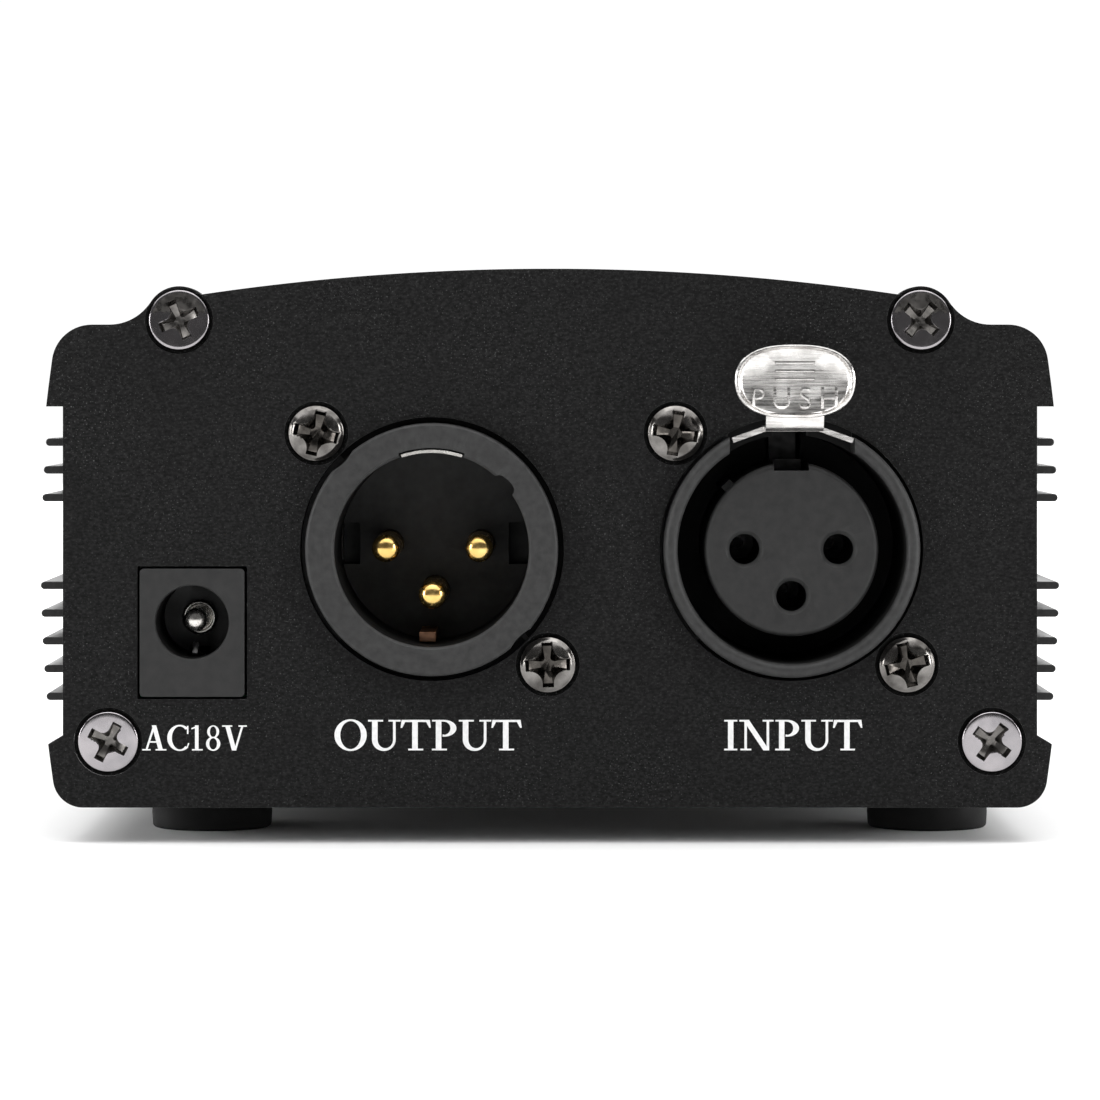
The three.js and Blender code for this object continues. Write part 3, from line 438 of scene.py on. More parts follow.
def anodised():
    """Black anodised extrusion, with faint die lines along its length."""
    made = Finish("anodised", metallic=0.2, specular=0.3)
    lines = made.noise(0.35, 4, (1, 0.012, 1))
    made.colour(made.ramp(lines, [(0.3, 0.011), (0.7, 0.021)]))
    made.roughness(made.noise(1.5, 3, (1, 0.05, 1)), 0.36, 0.5)
    made.relief(lines, 9, 0.5)
    return made.material


def circuit_green():
    """Solder mask over copper: tracks show as lighter lines in it."""
    made = Finish("circuit_green")
    diagonal = {"Rotation": (0, 0, math.radians(45)), "Scale": (1, 1, 0.01)}
    mapping = made.node("Mapping", diagonal)
    size = {"Scale": 1 / (4 * MM)}
    cells = made.node("TexVoronoi", size, distance="MANHATTAN", feature="F1")
    made.link(made.place, mapping.inputs["Vector"])
    made.link(mapping.outputs["Vector"], cells.inputs["Vector"])
    copper = made.ramp(cells.outputs["Distance"], [(0.42, 0.0), (0.46, 1.0)])
    mask = made.ramp(made.noise(2, 2), [(0.3, (0.004, 0.05, 0.02)), (0.7, (0.006, 0.075, 0.03))])
    track = made.ramp(made.noise(2, 2), [(0.3, (0.01, 0.13, 0.045)), (0.7, (0.02, 0.18, 0.06))])
    made.colour(made.mix(copper, mask, track))
    made.roughness(made.noise(3, 2), 0.3, 0.45)
    made.relief(copper, 30, 0.6)
    return made.material


COAT = speckled_coat()
WORN_HIGHLIT_EDGE = worn_and_highlit_edge()
ANODISED = anodised()
SHELL_NYLON = moulded("shell_nylon", 0.018, 0.032, 0.5, 0.2, 14, 0.3)
INSERT_NYLON = moulded("insert_nylon", 0.013, 0.021, 0.46, 0.3, 8, 0.3)
# Painted shade: a darker copy of the black nylon for faces deep in bores and behind faces, where shade
# falls.
SHADE_NYLON = moulded("painted_shade_nylon", 0.006, 0.01, 0.6, 0.3, 8, 0.12)
# Painted light: a lighter black nylon for the insert deep in the output cup, to make up for the shade
# there.
CUP_LIT_NYLON = moulded("painted_light_cup_nylon", 0.025, 0.038, 0.6, 0.3, 8, 0.2)
JACK_NYLON = moulded("jack_nylon", 0.014, 0.021, 0.5, 0.3, 10, 0.3)
# Painted light: a lighter copy of the jack's nylon for the floor of the inlet's bore.
BORE_FLOOR_LIT_NYLON = moulded("painted_light_bore_nylon", 0.02, 0.03, 0.45, 0.3, 10, 0.25)
KNOB_PLASTIC = moulded("knob_plastic", 0.009, 0.016, 0.36, 0.4, 7)
CAP_PLASTIC = moulded("cap_plastic", 0.48, 0.56, 0.42, 0.4, 6)
LABEL_INK = moulded("label_ink", 0.66, 0.78, 0.6, 0.12, 8, 0.3)
RUBBER = moulded("rubber", 0.006, 0.01, 0.75, 0.35, 20, 0.2)
BLACK_NICKEL = plated("black_nickel", (0.09, 0.085, 0.08), (0.22, 0.21, 0.2), 0.17, 0.5)
POLISHED_NICKEL = plated("polished_nickel", (0.26, 0.25, 0.26), (0.36, 0.34, 0.35), 0.13, 0.8)
# Painted shade: a darker copy of the black nickel for the faces inside the XLR screws' cross recesses.
RECESS_SHADE_NICKEL = plated("painted_shade_recess_nickel", (0.035, 0.032, 0.029), (0.085, 0.078, 0.071), 0.2, 0.4)
# Painted shade: near-black steel for metal faces deep inside the input connector, the latch's arm and the
# contacts' bores.
SHADE_STEEL = plated("painted_shade_steel", (0.02, 0.02, 0.02), (0.04, 0.04, 0.04), 0.4)
BRIGHT_NICKEL = brushed("bright_nickel", (0.5, 0.485, 0.47), (0.84, 0.82, 0.8), 0.26)
# Painted shade: a darker nickel for the corner screws' recesses and the edges round the latch's raised
# letters and ridges.
SHADE_NICKEL = plated("painted_shade_nickel", (0.1, 0.095, 0.09), (0.2, 0.19, 0.18), 0.3)
NICKEL = plated("nickel", (0.6, 0.58, 0.55), (0.78, 0.76, 0.72), 0.22)
GOLD = plated("gold", (0.72, 0.46, 0.14), (0.86, 0.6, 0.22), 0.2)
BRONZE = plated("bronze", (0.24, 0.13, 0.08), (0.36, 0.2, 0.13), 0.45)
ZINC = plated("zinc", (0.42, 0.42, 0.43), (0.6, 0.6, 0.6), 0.35, 0.6, (1, 0.2, 1))
CORE = plated("lamination_steel", (0.08, 0.08, 0.085), (0.16, 0.16, 0.165), 0.5, 0.5, (0.05, 1, 0.05), 30)
COIL = plated("coil_copper", (0.32, 0.14, 0.05), (0.5, 0.25, 0.09), 0.4, 0.4, (0.05, 1, 1), 60)
SLEEVE = moulded("capacitor_sleeve", (0.01, 0.015, 0.04), (0.016, 0.024, 0.06), 0.3, 0.5, 5)
LENS = moulded("red_lens", (0.42, 0.012, 0.01), (0.5, 0.02, 0.015), 0.14, 0.8, 3)
BOARD = circuit_green()

# -------------------- case

Screw = namedtuple("Screw", "head shank length crown edge_r recess")
CORNER_SCREW = Screw(head=2.6, shank=1.3, length=9, crown=0.26, edge_r=0.16, recess=(0.68, 0.16, 0.24))
XLR_SCREW = Screw(head=2.42, shank=1.15, length=7, crown=0.85, edge_r=0.2, recess=(0.79, 0.2, 0.46))
XLR_SCREW_AT = 9.95  # along x and z from the connector's axis
XLR_HOLE_R = 11.35
INLET_HOLE = (4.72, 5.72)  # half width and half height
ROOF_R = 204
SIDE_X = high("lower_shell").x
SIDE_R = 127
SIDE_CENTRE = SIDE_X - SIDE_R
SIDE_MID_Z = 23.8
SHOULDER_Z = 44.65
SHOULDER_R = 3.45
BASE_R = 2.6
SADDLE_R = 4.2
RECESS_X = 41.9
RECESS_Z = (8.55, 37.6)
BOSS_R = 2.9
BODY_INSET = low("lower_shell").z - BASE_Z
WALL = 1.9
SPLIT_Z = 25.9
SEAM = 0.15
FIN_T = 0.66
FIN_PITCH = 2.4
FIN_ROWS = ((12.5, 5), (29.7, 3))
UPPER_SCREW = middle("rear_screw_upper_right")
LOWER_SCREW = middle("rear_screw_lower_right")


def side_at(z, inset=0.0):
    """x on the bulging side at a height."""
    r = SIDE_R - inset
    return SIDE_CENTRE + math.sqrt(r * r - (z - SIDE_MID_Z) ** 2)


def side_corner(z, r, up, inset):
    """A rounded corner between the side and a level edge; up is 1 at the top and -1 below."""
    cz = z - up * r
    reach = SIDE_R - inset - r
    cx = SIDE_CENTRE + math.sqrt(reach * reach - (cz - SIDE_MID_Z) ** 2)
    lean = math.degrees(math.atan2(cz - SIDE_MID_Z, cx - SIDE_CENTRE))
    return arc(cx, cz, r, lean, 90, 14) if up > 0 else arc(cx, cz, r, -90, lean, 12)


def side_arc(z0, z1, inset, steps):
    heights = [z0 + (z1 - z0) * i / steps for i in range(steps + 1)]
    return [(side_at(z, inset), z) for z in heights]


def roof_half(inset):
    """Saddle, boss and arch, from beside the shoulder to the middle."""
    shoulder, boss, saddle = SHOULDER_Z - inset, BOSS_R - inset, SADDLE_R + inset
    rise = shoulder + saddle - UPPER_SCREW.z
    reach = math.sqrt((saddle + boss) ** 2 - rise * rise)
    lean = math.degrees(math.atan2(rise, reach))
    hollow = arc(UPPER_SCREW.x + reach, shoulder + saddle, saddle, 270, 180 + lean, 12)
    roof_r, roof_z = ROOF_R - inset, ROOF_Z - ROOF_R
    dx, dz = UPPER_SCREW.x, UPPER_SCREW.z - roof_z
    apart = math.hypot(dx, dz)
    to_cross = (boss * boss - roof_r * roof_r + apart * apart) / (2 * apart)
    half = math.degrees(math.acos(to_cross / boss))
    crossing = math.degrees(math.atan2(-dz, -dx)) + 360 - half
    round_boss = arc(UPPER_SCREW.x, UPPER_SCREW.z, boss, lean, crossing, 24)[1:]
    start = math.degrees(math.acos(round_boss[-1][0] / roof_r))
    return hollow + round_boss + arc(0, roof_z, roof_r, start, 90, 24)[1:-1]


def section_half(inset, beside):
    low_z, high_z = RECESS_Z
    return (
        side_corner(BASE_Z + inset, BASE_R, -1, inset)
        + side_arc(low_z - 1.8, low_z, inset, 2)
        + beside
        + side_arc(high_z, high_z + 1.8, inset, 2)
        + side_corner(SHOULDER_Z - inset, SHOULDER_R, 1, inset)
        + roof_half(inset)
    )


def fin(z):
    """One fin with a rounded tip."""
    wall, half = RECESS_X - BODY_INSET, FIN_T / 2
    return [(wall, z - half)] + arc(side_at(z) - half, z, half, -90, 90, 8) + [(wall, z + half)]


def body_half():
    wall = RECESS_X - BODY_INSET
    fins = [p for first, count in FIN_ROWS for i in range(count) for p in fin(first + i * FIN_PITCH)]
    beside = [(wall, RECESS_Z[0])] + fins + [(wall, RECESS_Z[1])]
    return section_half(BODY_INSET, beside)


def shells():
    """The two half shells, each a U of even wall with its outside from the case section."""
    wall = RECESS_X - BODY_INSET
    inner, base = wall - WALL, BASE_Z + BODY_INSET + WALL
    y0, y1 = low("upper_shell").y, high("upper_shell").y
    half = body_half()
    above = [(wall, SPLIT_Z + SEAM)] + [p for p in half if p[1] > SPLIT_Z]
    roof_r, edge = ROOF_R - BODY_INSET - WALL, 27.5
    start = math.degrees(math.acos(edge / roof_r))
    under = [(inner, SPLIT_Z + SEAM), (inner, SHOULDER_Z - 4), (inner - 2, SHOULDER_Z - 2)]
    under += [(edge, SHOULDER_Z - 2)] + arc(0, ROOF_Z - ROOF_R, roof_r, start, 90, 12)[1:-1]
    top = mirrored(above) + mirrored(under)[::-1]
    below = [p for p in half if p[1] < SPLIT_Z] + [(wall, SPLIT_Z - SEAM)]
    inside = [(inner, base), (inner, SPLIT_Z - SEAM)]
    bottom = valley(below) + valley(inside)[::-1]
    for part, outline in (("upper", top), ("lower", bottom)):
        fitted(
            f"{part}_shell", "anodised_shell", f"{part}_case_shell", prism(outline, y0, y1),
            [ANODISED], ease=0.06, steps=1,
        )


def countersink(screw):
    mouth, bore = screw.head + 0.34, screw.shank + 0.3
    deep = PLATE_T + 1
    return turned([(0, -1), (mouth, -1), (mouth, 0.1), (bore, mouth - bore), (bore, deep), (0, deep)])


def plate_blank():
    """An end plate without its countersinks, outer face at y = 0."""
    beside = [(RECESS_X, RECESS_Z[0] + 0.75), (RECESS_X, RECESS_Z[1])]
    return prism(mirrored(section_half(0.0, beside)), 0, PLATE_T)


def corner_countersinks():
    places = [(side * screw.x, screw.z) for side in (-1, 1) for screw in (UPPER_SCREW, LOWER_SCREW)]
    return [moved(countersink(CORNER_SCREW), x, 0, z) for x, z in places]


def rear_plate():
    tools = corner_countersinks()
    for centre in (OUTPUT, INPUT):
        tools.append(moved(rod(XLR_HOLE_R, -1, PLATE_T + 1, 128), centre.x, 0, centre.z))
        for side in (-1, 1):
            x, z = centre.x + side * XLR_SCREW_AT, centre.z - side * XLR_SCREW_AT
            tools.append(moved(countersink(XLR_SCREW), x, 0, z))
    wide, tall = INLET_HOLE
    tools.append(moved(block(-wide, wide, -1, PLATE_T + 1, -tall, tall), INLET.x, 0, INLET.z))
    # The bevelled edges get the edge coat: real wear, partly a painted highlight.
    fitted(
        "rear_plate", "plate_coat", "rear_end_plate", cut(plate_blank(), *tools), [COAT, WORN_HIGHLIT_EDGE],
        (0, REAR_Y, 0), ease=0.16,
    )


def foot(name, node):
    """A moulded foot: rounded rim, a shallow dish below and a skirt that widens to its edge."""
    r = (high(node).x - low(node).x) / 2
    top = high(node).z
    profile = [(0, 0.5), (r - 2.6, 0.5), (r - 2.2, 0.1)]
    profile += arc(r - 0.4, 0.35, 0.35, 270, 350, 6)
    profile += [(r, 1.3), (r - 0.08, top), (0, top)]
    spot = middle(node)
    fitted(node, "rubber", name, upright(turned(profile)), [RUBBER], (spot.x, spot.y, 0), angle=50)


# -------------------- screws


def cross_outline(reach, half, fillet):
    """A cross recess seen from the front: four arms, with a wide fillet between each two."""
    quarter = [(reach, -half), (reach, half)]
    quarter += arc(half + fillet, half + fillet, fillet, 270, 180, 7)
    points = []
    for _ in range(4):
        points += quarter
        quarter = [(-z, x) for x, z in quarter]
    return points


def cross_recess(head, face_y, reach, half, round_by):
    """The recess: steep walls from face_y in to a smaller base, which ends in a blunt point. The
    arms' reach, half width and rounding are shares of the head's radius."""
    arm, half, fillet = reach * head, half * head, round_by * head
    face = cross_outline(arm, half, fillet)
    base = cross_outline(arm * 0.84, half * 0.8, fillet * 0.8)
    point = cross_outline(arm * 0.3, half * 0.5, fillet * 0.3)
    return loft([(face_y - 1, face), (face_y, face), (face_y + 0.75, base), (face_y + 1.2, point)])


RIM = 0.2  # how far the edge of a screw's head stands out of the plate


def screw_solid(screw, turn):
    """Countersunk head, raised by its crown over y = 0, with a cross recess turned by degrees."""
    head, crown = screw.head, screw.crown
    radius = (head * head + (crown - RIM) ** 2) / (2 * (crown - RIM))
    radii = [head * i / 10 for i in range(10)]
    top = [(r, -crown + radius - math.sqrt(radius * radius - r**2)) for r in radii]
    edge = arc(head - screw.edge_r, screw.edge_r - RIM, screw.edge_r, 290, 360, 6)
    body = [(head, 0.14), (screw.shank, 0.14 + head - screw.shank), (screw.shank, screw.length - 1)]
    profile = top + edge + body + [(screw.shank * 0.4, screw.length), (0, screw.length)]
    recess = cross_recess(head, -crown / 2, *screw.recess)
    return cut(turned(profile, 72), moved(recess, turn=turn))


def in_recess(screw):
    """Picks the faces of a screw that lie behind the surface of its head."""
    def below(at):
        share = math.hypot(at.x, at.z) / screw.head
        surface = (screw.crown - RIM) * share * share - screw.crown
        return share < 0.88 and at.y > 0.07 + surface
    return below


def fit_screw(node, name, screw, finishes, turn, lean=0.0, y=REAR_Y, spin=None):
    """Puts a screw at its CAD node, turned and leaning by degrees."""
    solid = screw_solid(screw, turn)
    solid.transform(Matrix.Rotation(math.radians(lean), 4, "X"))
    fitted(
        node, "black_nickel", name, solid, finishes, on_plate(node, y), spin,
        ease=0.08, angle=30, inside=in_recess(screw),
    )


def screws():
    """Each was driven by hand, so each has its own turn, and the corner ones lean a little."""
    corners = {"upper_left": (24, -6), "upper_right": (49, -6)}
    corners |= {"lower_left": (62, 1.5), "lower_right": (54, 1.5)}
    # The corner screws' recesses get the darker nickel, and the XLR screws' recesses another darker copy:
    # both painted shade.
    pair = [POLISHED_NICKEL, SHADE_NICKEL]
    for corner, (turn, lean) in corners.items():
        for end, y, spin in (("rear", REAR_Y, None), ("front", FRONT_Y, HALF_TURN)):
            name = f"{end}_plate_screw_{corner}"
            fit_screw(f"{end}_screw_{corner}", name, CORNER_SCREW, pair, turn, lean, y, spin)
    turns = {"output_xlr_screw_upper": -13, "output_xlr_screw_lower": 2}
    turns |= {"input_xlr_screw_upper": -9, "input_xlr_screw_lower": 14}
    for node, turn in turns.items():
        fit_screw(node, node + "_fine", XLR_SCREW, [BLACK_NICKEL, RECESS_SHADE_NICKEL], turn)


# -------------------- XLR connectors

CONTACT_R = 4.04
CONTACTS = ((-CONTACT_R, 0.0), (CONTACT_R, 0.0), (0.0, -CONTACT_R))
FLANGE = (PLATE_T + 0.3, PLATE_T + 3.3)
FLANGE_HALF = 12.6
XLR_DEPTH = 18


def xlr_housing(outer, lip, ease):
    """The collar in front, the square flange behind the plate and the round body."""
    collar = [(0, -lip), (outer - ease, -lip)] + arc(outer - ease, ease - lip, ease, 270, 360, 6)[1:]
    collar += [(outer, FLANGE[0] + 0.5), (0, FLANGE[0] + 0.5)]
    solid = turned(collar, 160)
    square = square_bar(FLANGE_HALF, *FLANGE)
    return joined(solid, square, rod(11.7, FLANGE[1] - 0.5, XLR_DEPTH, 96))


def scallops(front):
    """Room for the heads of the two fixing screws, from a y in front of or in the plate."""
    places = [(side * XLR_SCREW_AT, -side * XLR_SCREW_AT) for side in (-1, 1)]
    heads = [moved(rod(3.5, front, FLANGE[0] - 0.1, 72), x, 0, z) for x, z in places]
    return heads + [moved(rod(1.4, FLANGE[0] - 0.5, 9, 32), x, 0, z) for x, z in places]


def in_bore(r, y, x=0.0, z=0.0):
    """Picks the faces within r of the axis at (x, z) and deeper than y."""
    return lambda at: at.y > y and math.hypot(at.x - x, at.z - z) < r


def fit_shell(kind, housing, centre, wall):
    """A connector's shell; wall picks the faces in its bore, which get the darker nylon as painted shade.
    """
    fitted(
        f"{kind}_xlr_shell", "nylon", f"{kind}_connector_shell", housing, [SHELL_NYLON, SHADE_NYLON],
        centre, ease=0.07, angle=34, inside=wall,
    )


def solder_tail(node, centre, z, start):
    """The flat tail behind a contact, from start to the CAD node's end and down to its foot."""
    return block(-0.4, 0.4, start, high(node).y - REAR_Y, low(node).z - centre.z - z, 0.4)


def output_connector():
    lip, bore, cup, seat = 1.8, 8.35, 12.4, 9.8
    mouth = [(0, -4), (bore + 0.22, -4), (bore + 0.22, -lip), (bore, 0.22 - lip)]
    hollow = turned(mouth + [(bore, cup), (seat, cup), (seat, XLR_DEPTH + 1), (0, XLR_DEPTH + 1)], 160)
    steps = ((34, 8.3), (35, 8.62), (36.5, 8.8), (39, 8.88), (43, 8.86), (46, 8.78), (48, 8.62))
    steps += ((49.5, 8.3), (49.5, 7.3), (34, 7.3))
    notch = [(r * math.cos(math.radians(a)), r * math.sin(math.radians(a))) for a, r in steps]
    keyway = prism(notch, -lip - 1, cup)
    window = prism(band(7.3, 8.72, 71, 109), -lip - 1, 9)
    housing = cut(cut(xlr_housing(10.85, lip, 0.35), hollow), keyway, window, *scallops(-4))
    fit_shell("output", housing, OUTPUT, in_bore(9, 0))

    holes = [moved(rod(1.26, cup, XLR_DEPTH + 1, 40), x, 0, z) for x, z in CONTACTS]
    sides = [block(x0, x1, cup, cup + 2.6, -1.8, 1.9) for x0, x1 in ((-8.2, -6.7), (6.5, 8.2))]
    disc = turned([(0, cup + 0.3), (seat - 0.3, cup + 0.3), (seat - 0.3, XLR_DEPTH), (0, XLR_DEPTH)])
    disc = cut(disc, *holes, *sides)
    # The insert deep in the cup gets the lighter nylon: painted light against the cup's shade.
    fitted(
        "output_xlr_insert", "dark_nylon", "output_connector_insert", disc, [CUP_LIT_NYLON],
        OUTPUT, ease=0.08,
    )

    for number, (x, z) in enumerate(CONTACTS, 1):
        node = f"output_xlr_pin_{number}"
        r, tip = 1.2, low(node).y - REAR_Y
        nose = [(r * c, tip + 0.85 * (1 - s)) for c, s in arc(0, 0, 1, 90, 0, 9)]
        shank = turned(nose + [(r, XLR_DEPTH), (0, XLR_DEPTH)], 64)
        tail = solder_tail(node, OUTPUT, z, XLR_DEPTH - 0.5)
        fitted(node, "gold", node + "_fine", joined(shank, tail), [GOLD], OUTPUT + Vector((x, 0, z)))

    tongue = block(-1.18, 0.26, 3, cup, -8.15, -7.3)
    fitted("output_xlr_ground_tab", "bronze", "output_ground_tongue", tongue, [BRONZE], OUTPUT, ease=0.08)
    strip = prism(band(8.3, 8.55, 72, 108), -1.3, 8.7)
    fitted("output_xlr_latch_plate", "nickel", "output_latch_window", strip, [NICKEL], OUTPUT)


def input_connector():
    lip, bore, core, face, flange = 1.8, 9.8, 7.5, 0.4, 14.2
    half = 0.58
    round_lip = arc(bore + half, half - lip, half, 270, 180, 8)
    hollow = [(0, -4), (bore + half, -4)] + round_lip + [(bore, XLR_DEPTH + 1), (0, XLR_DEPTH + 1)]
    housing = cut(xlr_housing(11.0, lip, half), turned(hollow, 160))
    gate = block(-5.35, 5.35, -4, 3.2, 8, 13)
    groove = block(-1.5, 1.5, 3, XLR_DEPTH + 1, 8, 11.1)
    housing = cut(housing, gate, groove, *scallops(0.3))
    fit_shell("input", housing, INPUT, in_bore(10.1, -0.9))

    chamfer = arc(core - 0.5, 0.5 - face, 0.5, 270, 360, 5)
    profile = [(0, -face)] + chamfer + [(core, flange), (bore - 0.02, flange), (bore - 0.02, XLR_DEPTH)]
    solid = turned(profile + [(0, XLR_DEPTH)], 128)
    rib = moved(block(core - 1, core + 0.5, 0.2, flange + 0.5, -0.5, 0.5), turn=135)
    solid = joined(solid, rib)
    mouths = [turned([(0, -1), (1.62, -1), (1.62, -face), (1.3, 0.3 - face), (1.3, 2), (0, 2)], 48)]
    mouths += [m.copy() for m in mouths * 2]
    mouths = [moved(m, x, 0, z) for m, (x, z) in zip(mouths, CONTACTS)]
    wells = [moved(rod(1.95, 1.6, XLR_DEPTH + 1, 32), x, 0, z) for x, z in CONTACTS]
    slot = block(-1.5, 1.5, -2, 7, 6.75, 12)
    deep_slot = block(-1.5, 1.5, 6, XLR_DEPTH + 1, 3.8, 12)
    solid = cut(cut(solid, *mouths, slot), *wells, deep_slot)
    holes = [in_bore(1.35, 0.3 - face, x, z) for x, z in CONTACTS]

    # Faces behind the insert's face, round its edge and in its contact holes get the darker nylon: painted
    # shade.
    def dark(at):
        return at.y > 1 or math.hypot(at.x, at.z) > core + 0.1 or any(hole(at) for hole in holes)

    fitted(
        "input_xlr_insert", "nylon", "input_connector_insert", solid, [INSERT_NYLON, SHADE_NYLON],
        INPUT, ease=0.06, inside=dark,
    )

    for number, (x, z) in enumerate(CONTACTS, 1):
        node = f"input_xlr_contact_{number}"
        sleeve = turned([(1.4, 2), (1.75, 2), (1.75, 16), (0.5, 16), (0.5, 15), (1.4, 15)], 48)
        tail = solder_tail(node, INPUT, z, 15.5)
        solid, hollow = joined(sleeve, tail), in_bore(1.45, 3)
        # The contact's bore gets the near-black steel as painted shade.
        fitted(
            node, "gold", node + "_fine", solid, [GOLD, SHADE_STEEL], INPUT + Vector((x, 0, z)),
            inside=hollow,
        )


TAB_Z = 14.43
TAB_HALF = (5.1, 3.12)
PUSH_Z = 12.92
RIDGES_Z = 15.3


def tab_solid(front):
    """The latch's thumb tab: a dished oval with a rounded rim."""
    rim, dish, back = front, front + 0.42, front + 0.72
    profile = [(0, dish), (0.5, dish), (0.87, dish - 0.02), (0.905, dish - 0.12), (0.925, rim + 0.1)]
    profile += [(0.945, rim), (0.975, rim + 0.02), (1.0, rim + 0.16), (1.0, rim + 0.42)]
    profile += [(0.97, back - 0.02), (0.9, back), (0, back)]
    solid = turned(profile, 160)
    wide, tall = TAB_HALF
    for vert in solid.verts:
        r = math.hypot(vert.co.x, vert.co.z)
        if r < 1e-6:
            continue
        c, s = vert.co.x / r, vert.co.z / r
        square = 0.78 if s > 0 else 0.7
        narrow = 1 - 0.06 * max(0.0, -s)
        vert.co.x = r * wide * narrow * math.copysign(abs(c) ** square, c)
        vert.co.z = r * tall * math.copysign(abs(s) ** (square + 0.08), s)
    return moved(solid, z=TAB_Z)


CAP_SHARE = 0.7  # the built-in face's cap height as a share of its size


def word(text, height, depth, spacing=1.0):
    """Plain upright letters in the built-in face, as a solid centred on the origin, facing -Y."""
    settings = {"body": text, "size": height / CAP_SHARE, "extrude": depth / 2}
    settings |= {"space_character": spacing, "align_x": "CENTER", "align_y": "CENTER"}
    curve = with_settings(bpy.data.curves.new("word", "FONT"), settings)
    carrier = linked("word", curve)
    graph = bpy.context.evaluated_depsgraph_get()
    mesh = bpy.data.meshes.new_from_object(carrier.evaluated_get(graph))
    bm = bmesh.new()
    bm.from_mesh(mesh)
    bmesh.ops.remove_doubles(bm, verts=bm.verts, dist=1e-4)
    bm.transform(Matrix.Rotation(math.pi / 2, 4, "X"))
    bpy.data.objects.remove(carrier)
    bpy.data.curves.remove(curve)
    bpy.data.meshes.remove(mesh)
    return bm


def latch():
    """One bent sheet: arched roof, neck, thumb tab, and the arm that doubles back to its hook."""
    front = low("input_xlr_latch").y - REAR_Y
    wings = prism(ribbon([(-5.1, 9.38), (-2.3, 10.37), (2.3, 10.37), (5.2, 9.34)], 0.44), -1.8, -0.4)
    bend = arc(front + 1.35, 11.4, 0.98, 270, 184, 8)
    neck = across(ribbon([(1.4, 10.42), (-1.8, 10.42)] + bend + [(front + 0.38, 11.75)], 0.42), -2.45, 2.45)
    path = [(0.9, 10.38), (16.52, 10.38), (16.52, 6.12), (7.3, 6.12)]
    arm = joined(across(ribbon(path, 0.45), -1.2, 1.2), block(-1.2, 1.2, 7, 8, 5.9, 7.6))
    solid = joined(joined(neck, wings, arm), tab_solid(front))
    # The faces behind the tab, the arm and its hook, get the near-black steel as painted shade, though the
    # sheet is one nickel piece.
    fitted(
        "input_xlr_latch", "nickel", "input_latch_sheet", solid, [BRIGHT_NICKEL, SHADE_STEEL],
        INPUT, ease=0.05, angle=38, body="latch", inside=lambda at: at.y > -0.3,
    )
    letters = word("PUSH", 1.85, 0.34, 1.5)
    reach = max(vert.co.x for vert in letters.verts)
    bmesh.ops.scale(letters, vec=(3.6 / reach, 1, 1), verts=letters.verts)
    ridges = joined(*[block(-1.7, 1.7, -0.14, 0.12, z - 0.13, z + 0.13) for z in (-0.7, 0, 0.7)])
    marks = (("latch_letters", letters, PUSH_Z), ("latch_grip_ridges", ridges, RIDGES_Z))
    # The letters' and ridges' bevelled edges get the darker nickel: a painted shadow round them.
    pair = [BRIGHT_NICKEL, SHADE_NICKEL]
    for name, mark, z in marks:
        made = piece(name, moved(mark, 0, front + 0.4, z), pair, INPUT, ease=0.05, body="latch")


# -------------------- power inlet


def power_inlet():
    up, bore, depth, length = 0.9, 3.15, 9.2, high("power_jack_body").y - REAR_Y
    mouth = [(0, -1), (bore + 0.12, -1), (bore + 0.12, -0.25), (bore, -0.1)]
    hole = moved(turned(mouth + [(bore, depth), (0, depth)], 96), 0, 0, up)
    back = moved(rod(1.3, depth - 1, length + 1, 32), 0, 0, up)
    channel = block(-0.9, 0.9, 4, length + 1, up - 4.4, up - 2.6)
    step = block(-6, 6, 3.5, length + 1, 3.9, 6.5)
    corners = [(4.15, -5.15, -90), (4.15, 5.15, 0), (-4.15, 5.15, 90), (-4.15, -5.15, 180)]
    outline = [p for x, z, a in corners for p in arc(x, z, 0.35, a, a + 90, 5)]
    solid = cut(prism(outline, -0.25, length), hole)
    solid = cut(solid, back, channel, step)
    wall, bottom = in_bore(bore + 0.2, 0, 0, up), in_bore(bore + 0.2, depth - 0.5, 0, up)
    # The bore's walls get the darker nylon as painted shade, and its floor a lighter copy as painted light.
    finishes = [JACK_NYLON, SHADE_NYLON, BORE_FLOOR_LIT_NYLON]

    def pick(at):
        return int(wall(at)) + int(bottom(at))

    fitted(
        "power_jack_body", "nylon", "inlet_body", solid, finishes, INLET,
        ease=0.1, steps=3, angle=34, inside=pick,
    )

    blunt = 0.5
    tip = [(x, 3 + blunt * (1 - y)) for x, y in arc(0, 0, 1, 90, 0, 6)]
    steps = [(1, 0.3), (1.16, 0.3), (1.16, 0.9), (1.24, 1), (1.42, 0.95), (1.5, 0.8), (1.5, 0.1), (1, 0.1)]
    collar = [(r, depth - up_from) for r, up_from in steps]
    pin = turned(tip + collar + [(1, length + 1.5), (0, length + 1.5)], 64)
    fitted("power_jack_pin", "nickel", "inlet_pin", pin, [NICKEL], INLET + Vector((0, 0, up)), ease=0.08)

    foot_z = low("power_jack_spring").z - INLET.z
    leaf = [(3.2, up - 2.9), (4.2, up - 2.1), (5.5, up - 3.0), (6.2, up - 3.25), (12.85, up - 3.25)]
    leaf.append((12.85, foot_z))
    fitted(
        "power_jack_spring", "nickel", "inlet_spring", across(ribbon(leaf, 0.28), -0.24, 0.24),
        [ZINC], INLET, ease=0.04,
    )


# -------------------- labels
# Serif capitals drawn from strokes on a unit of cap height: heavy stems, fine arms and feet.

STEM, FINE, FOOT_T = 0.15, 0.07, 0.055


def stem(x, width, z0=0.0):
    """An upright stroke from z0 to the cap height."""
    return rectangle(x, x + width, z0, 1.0)


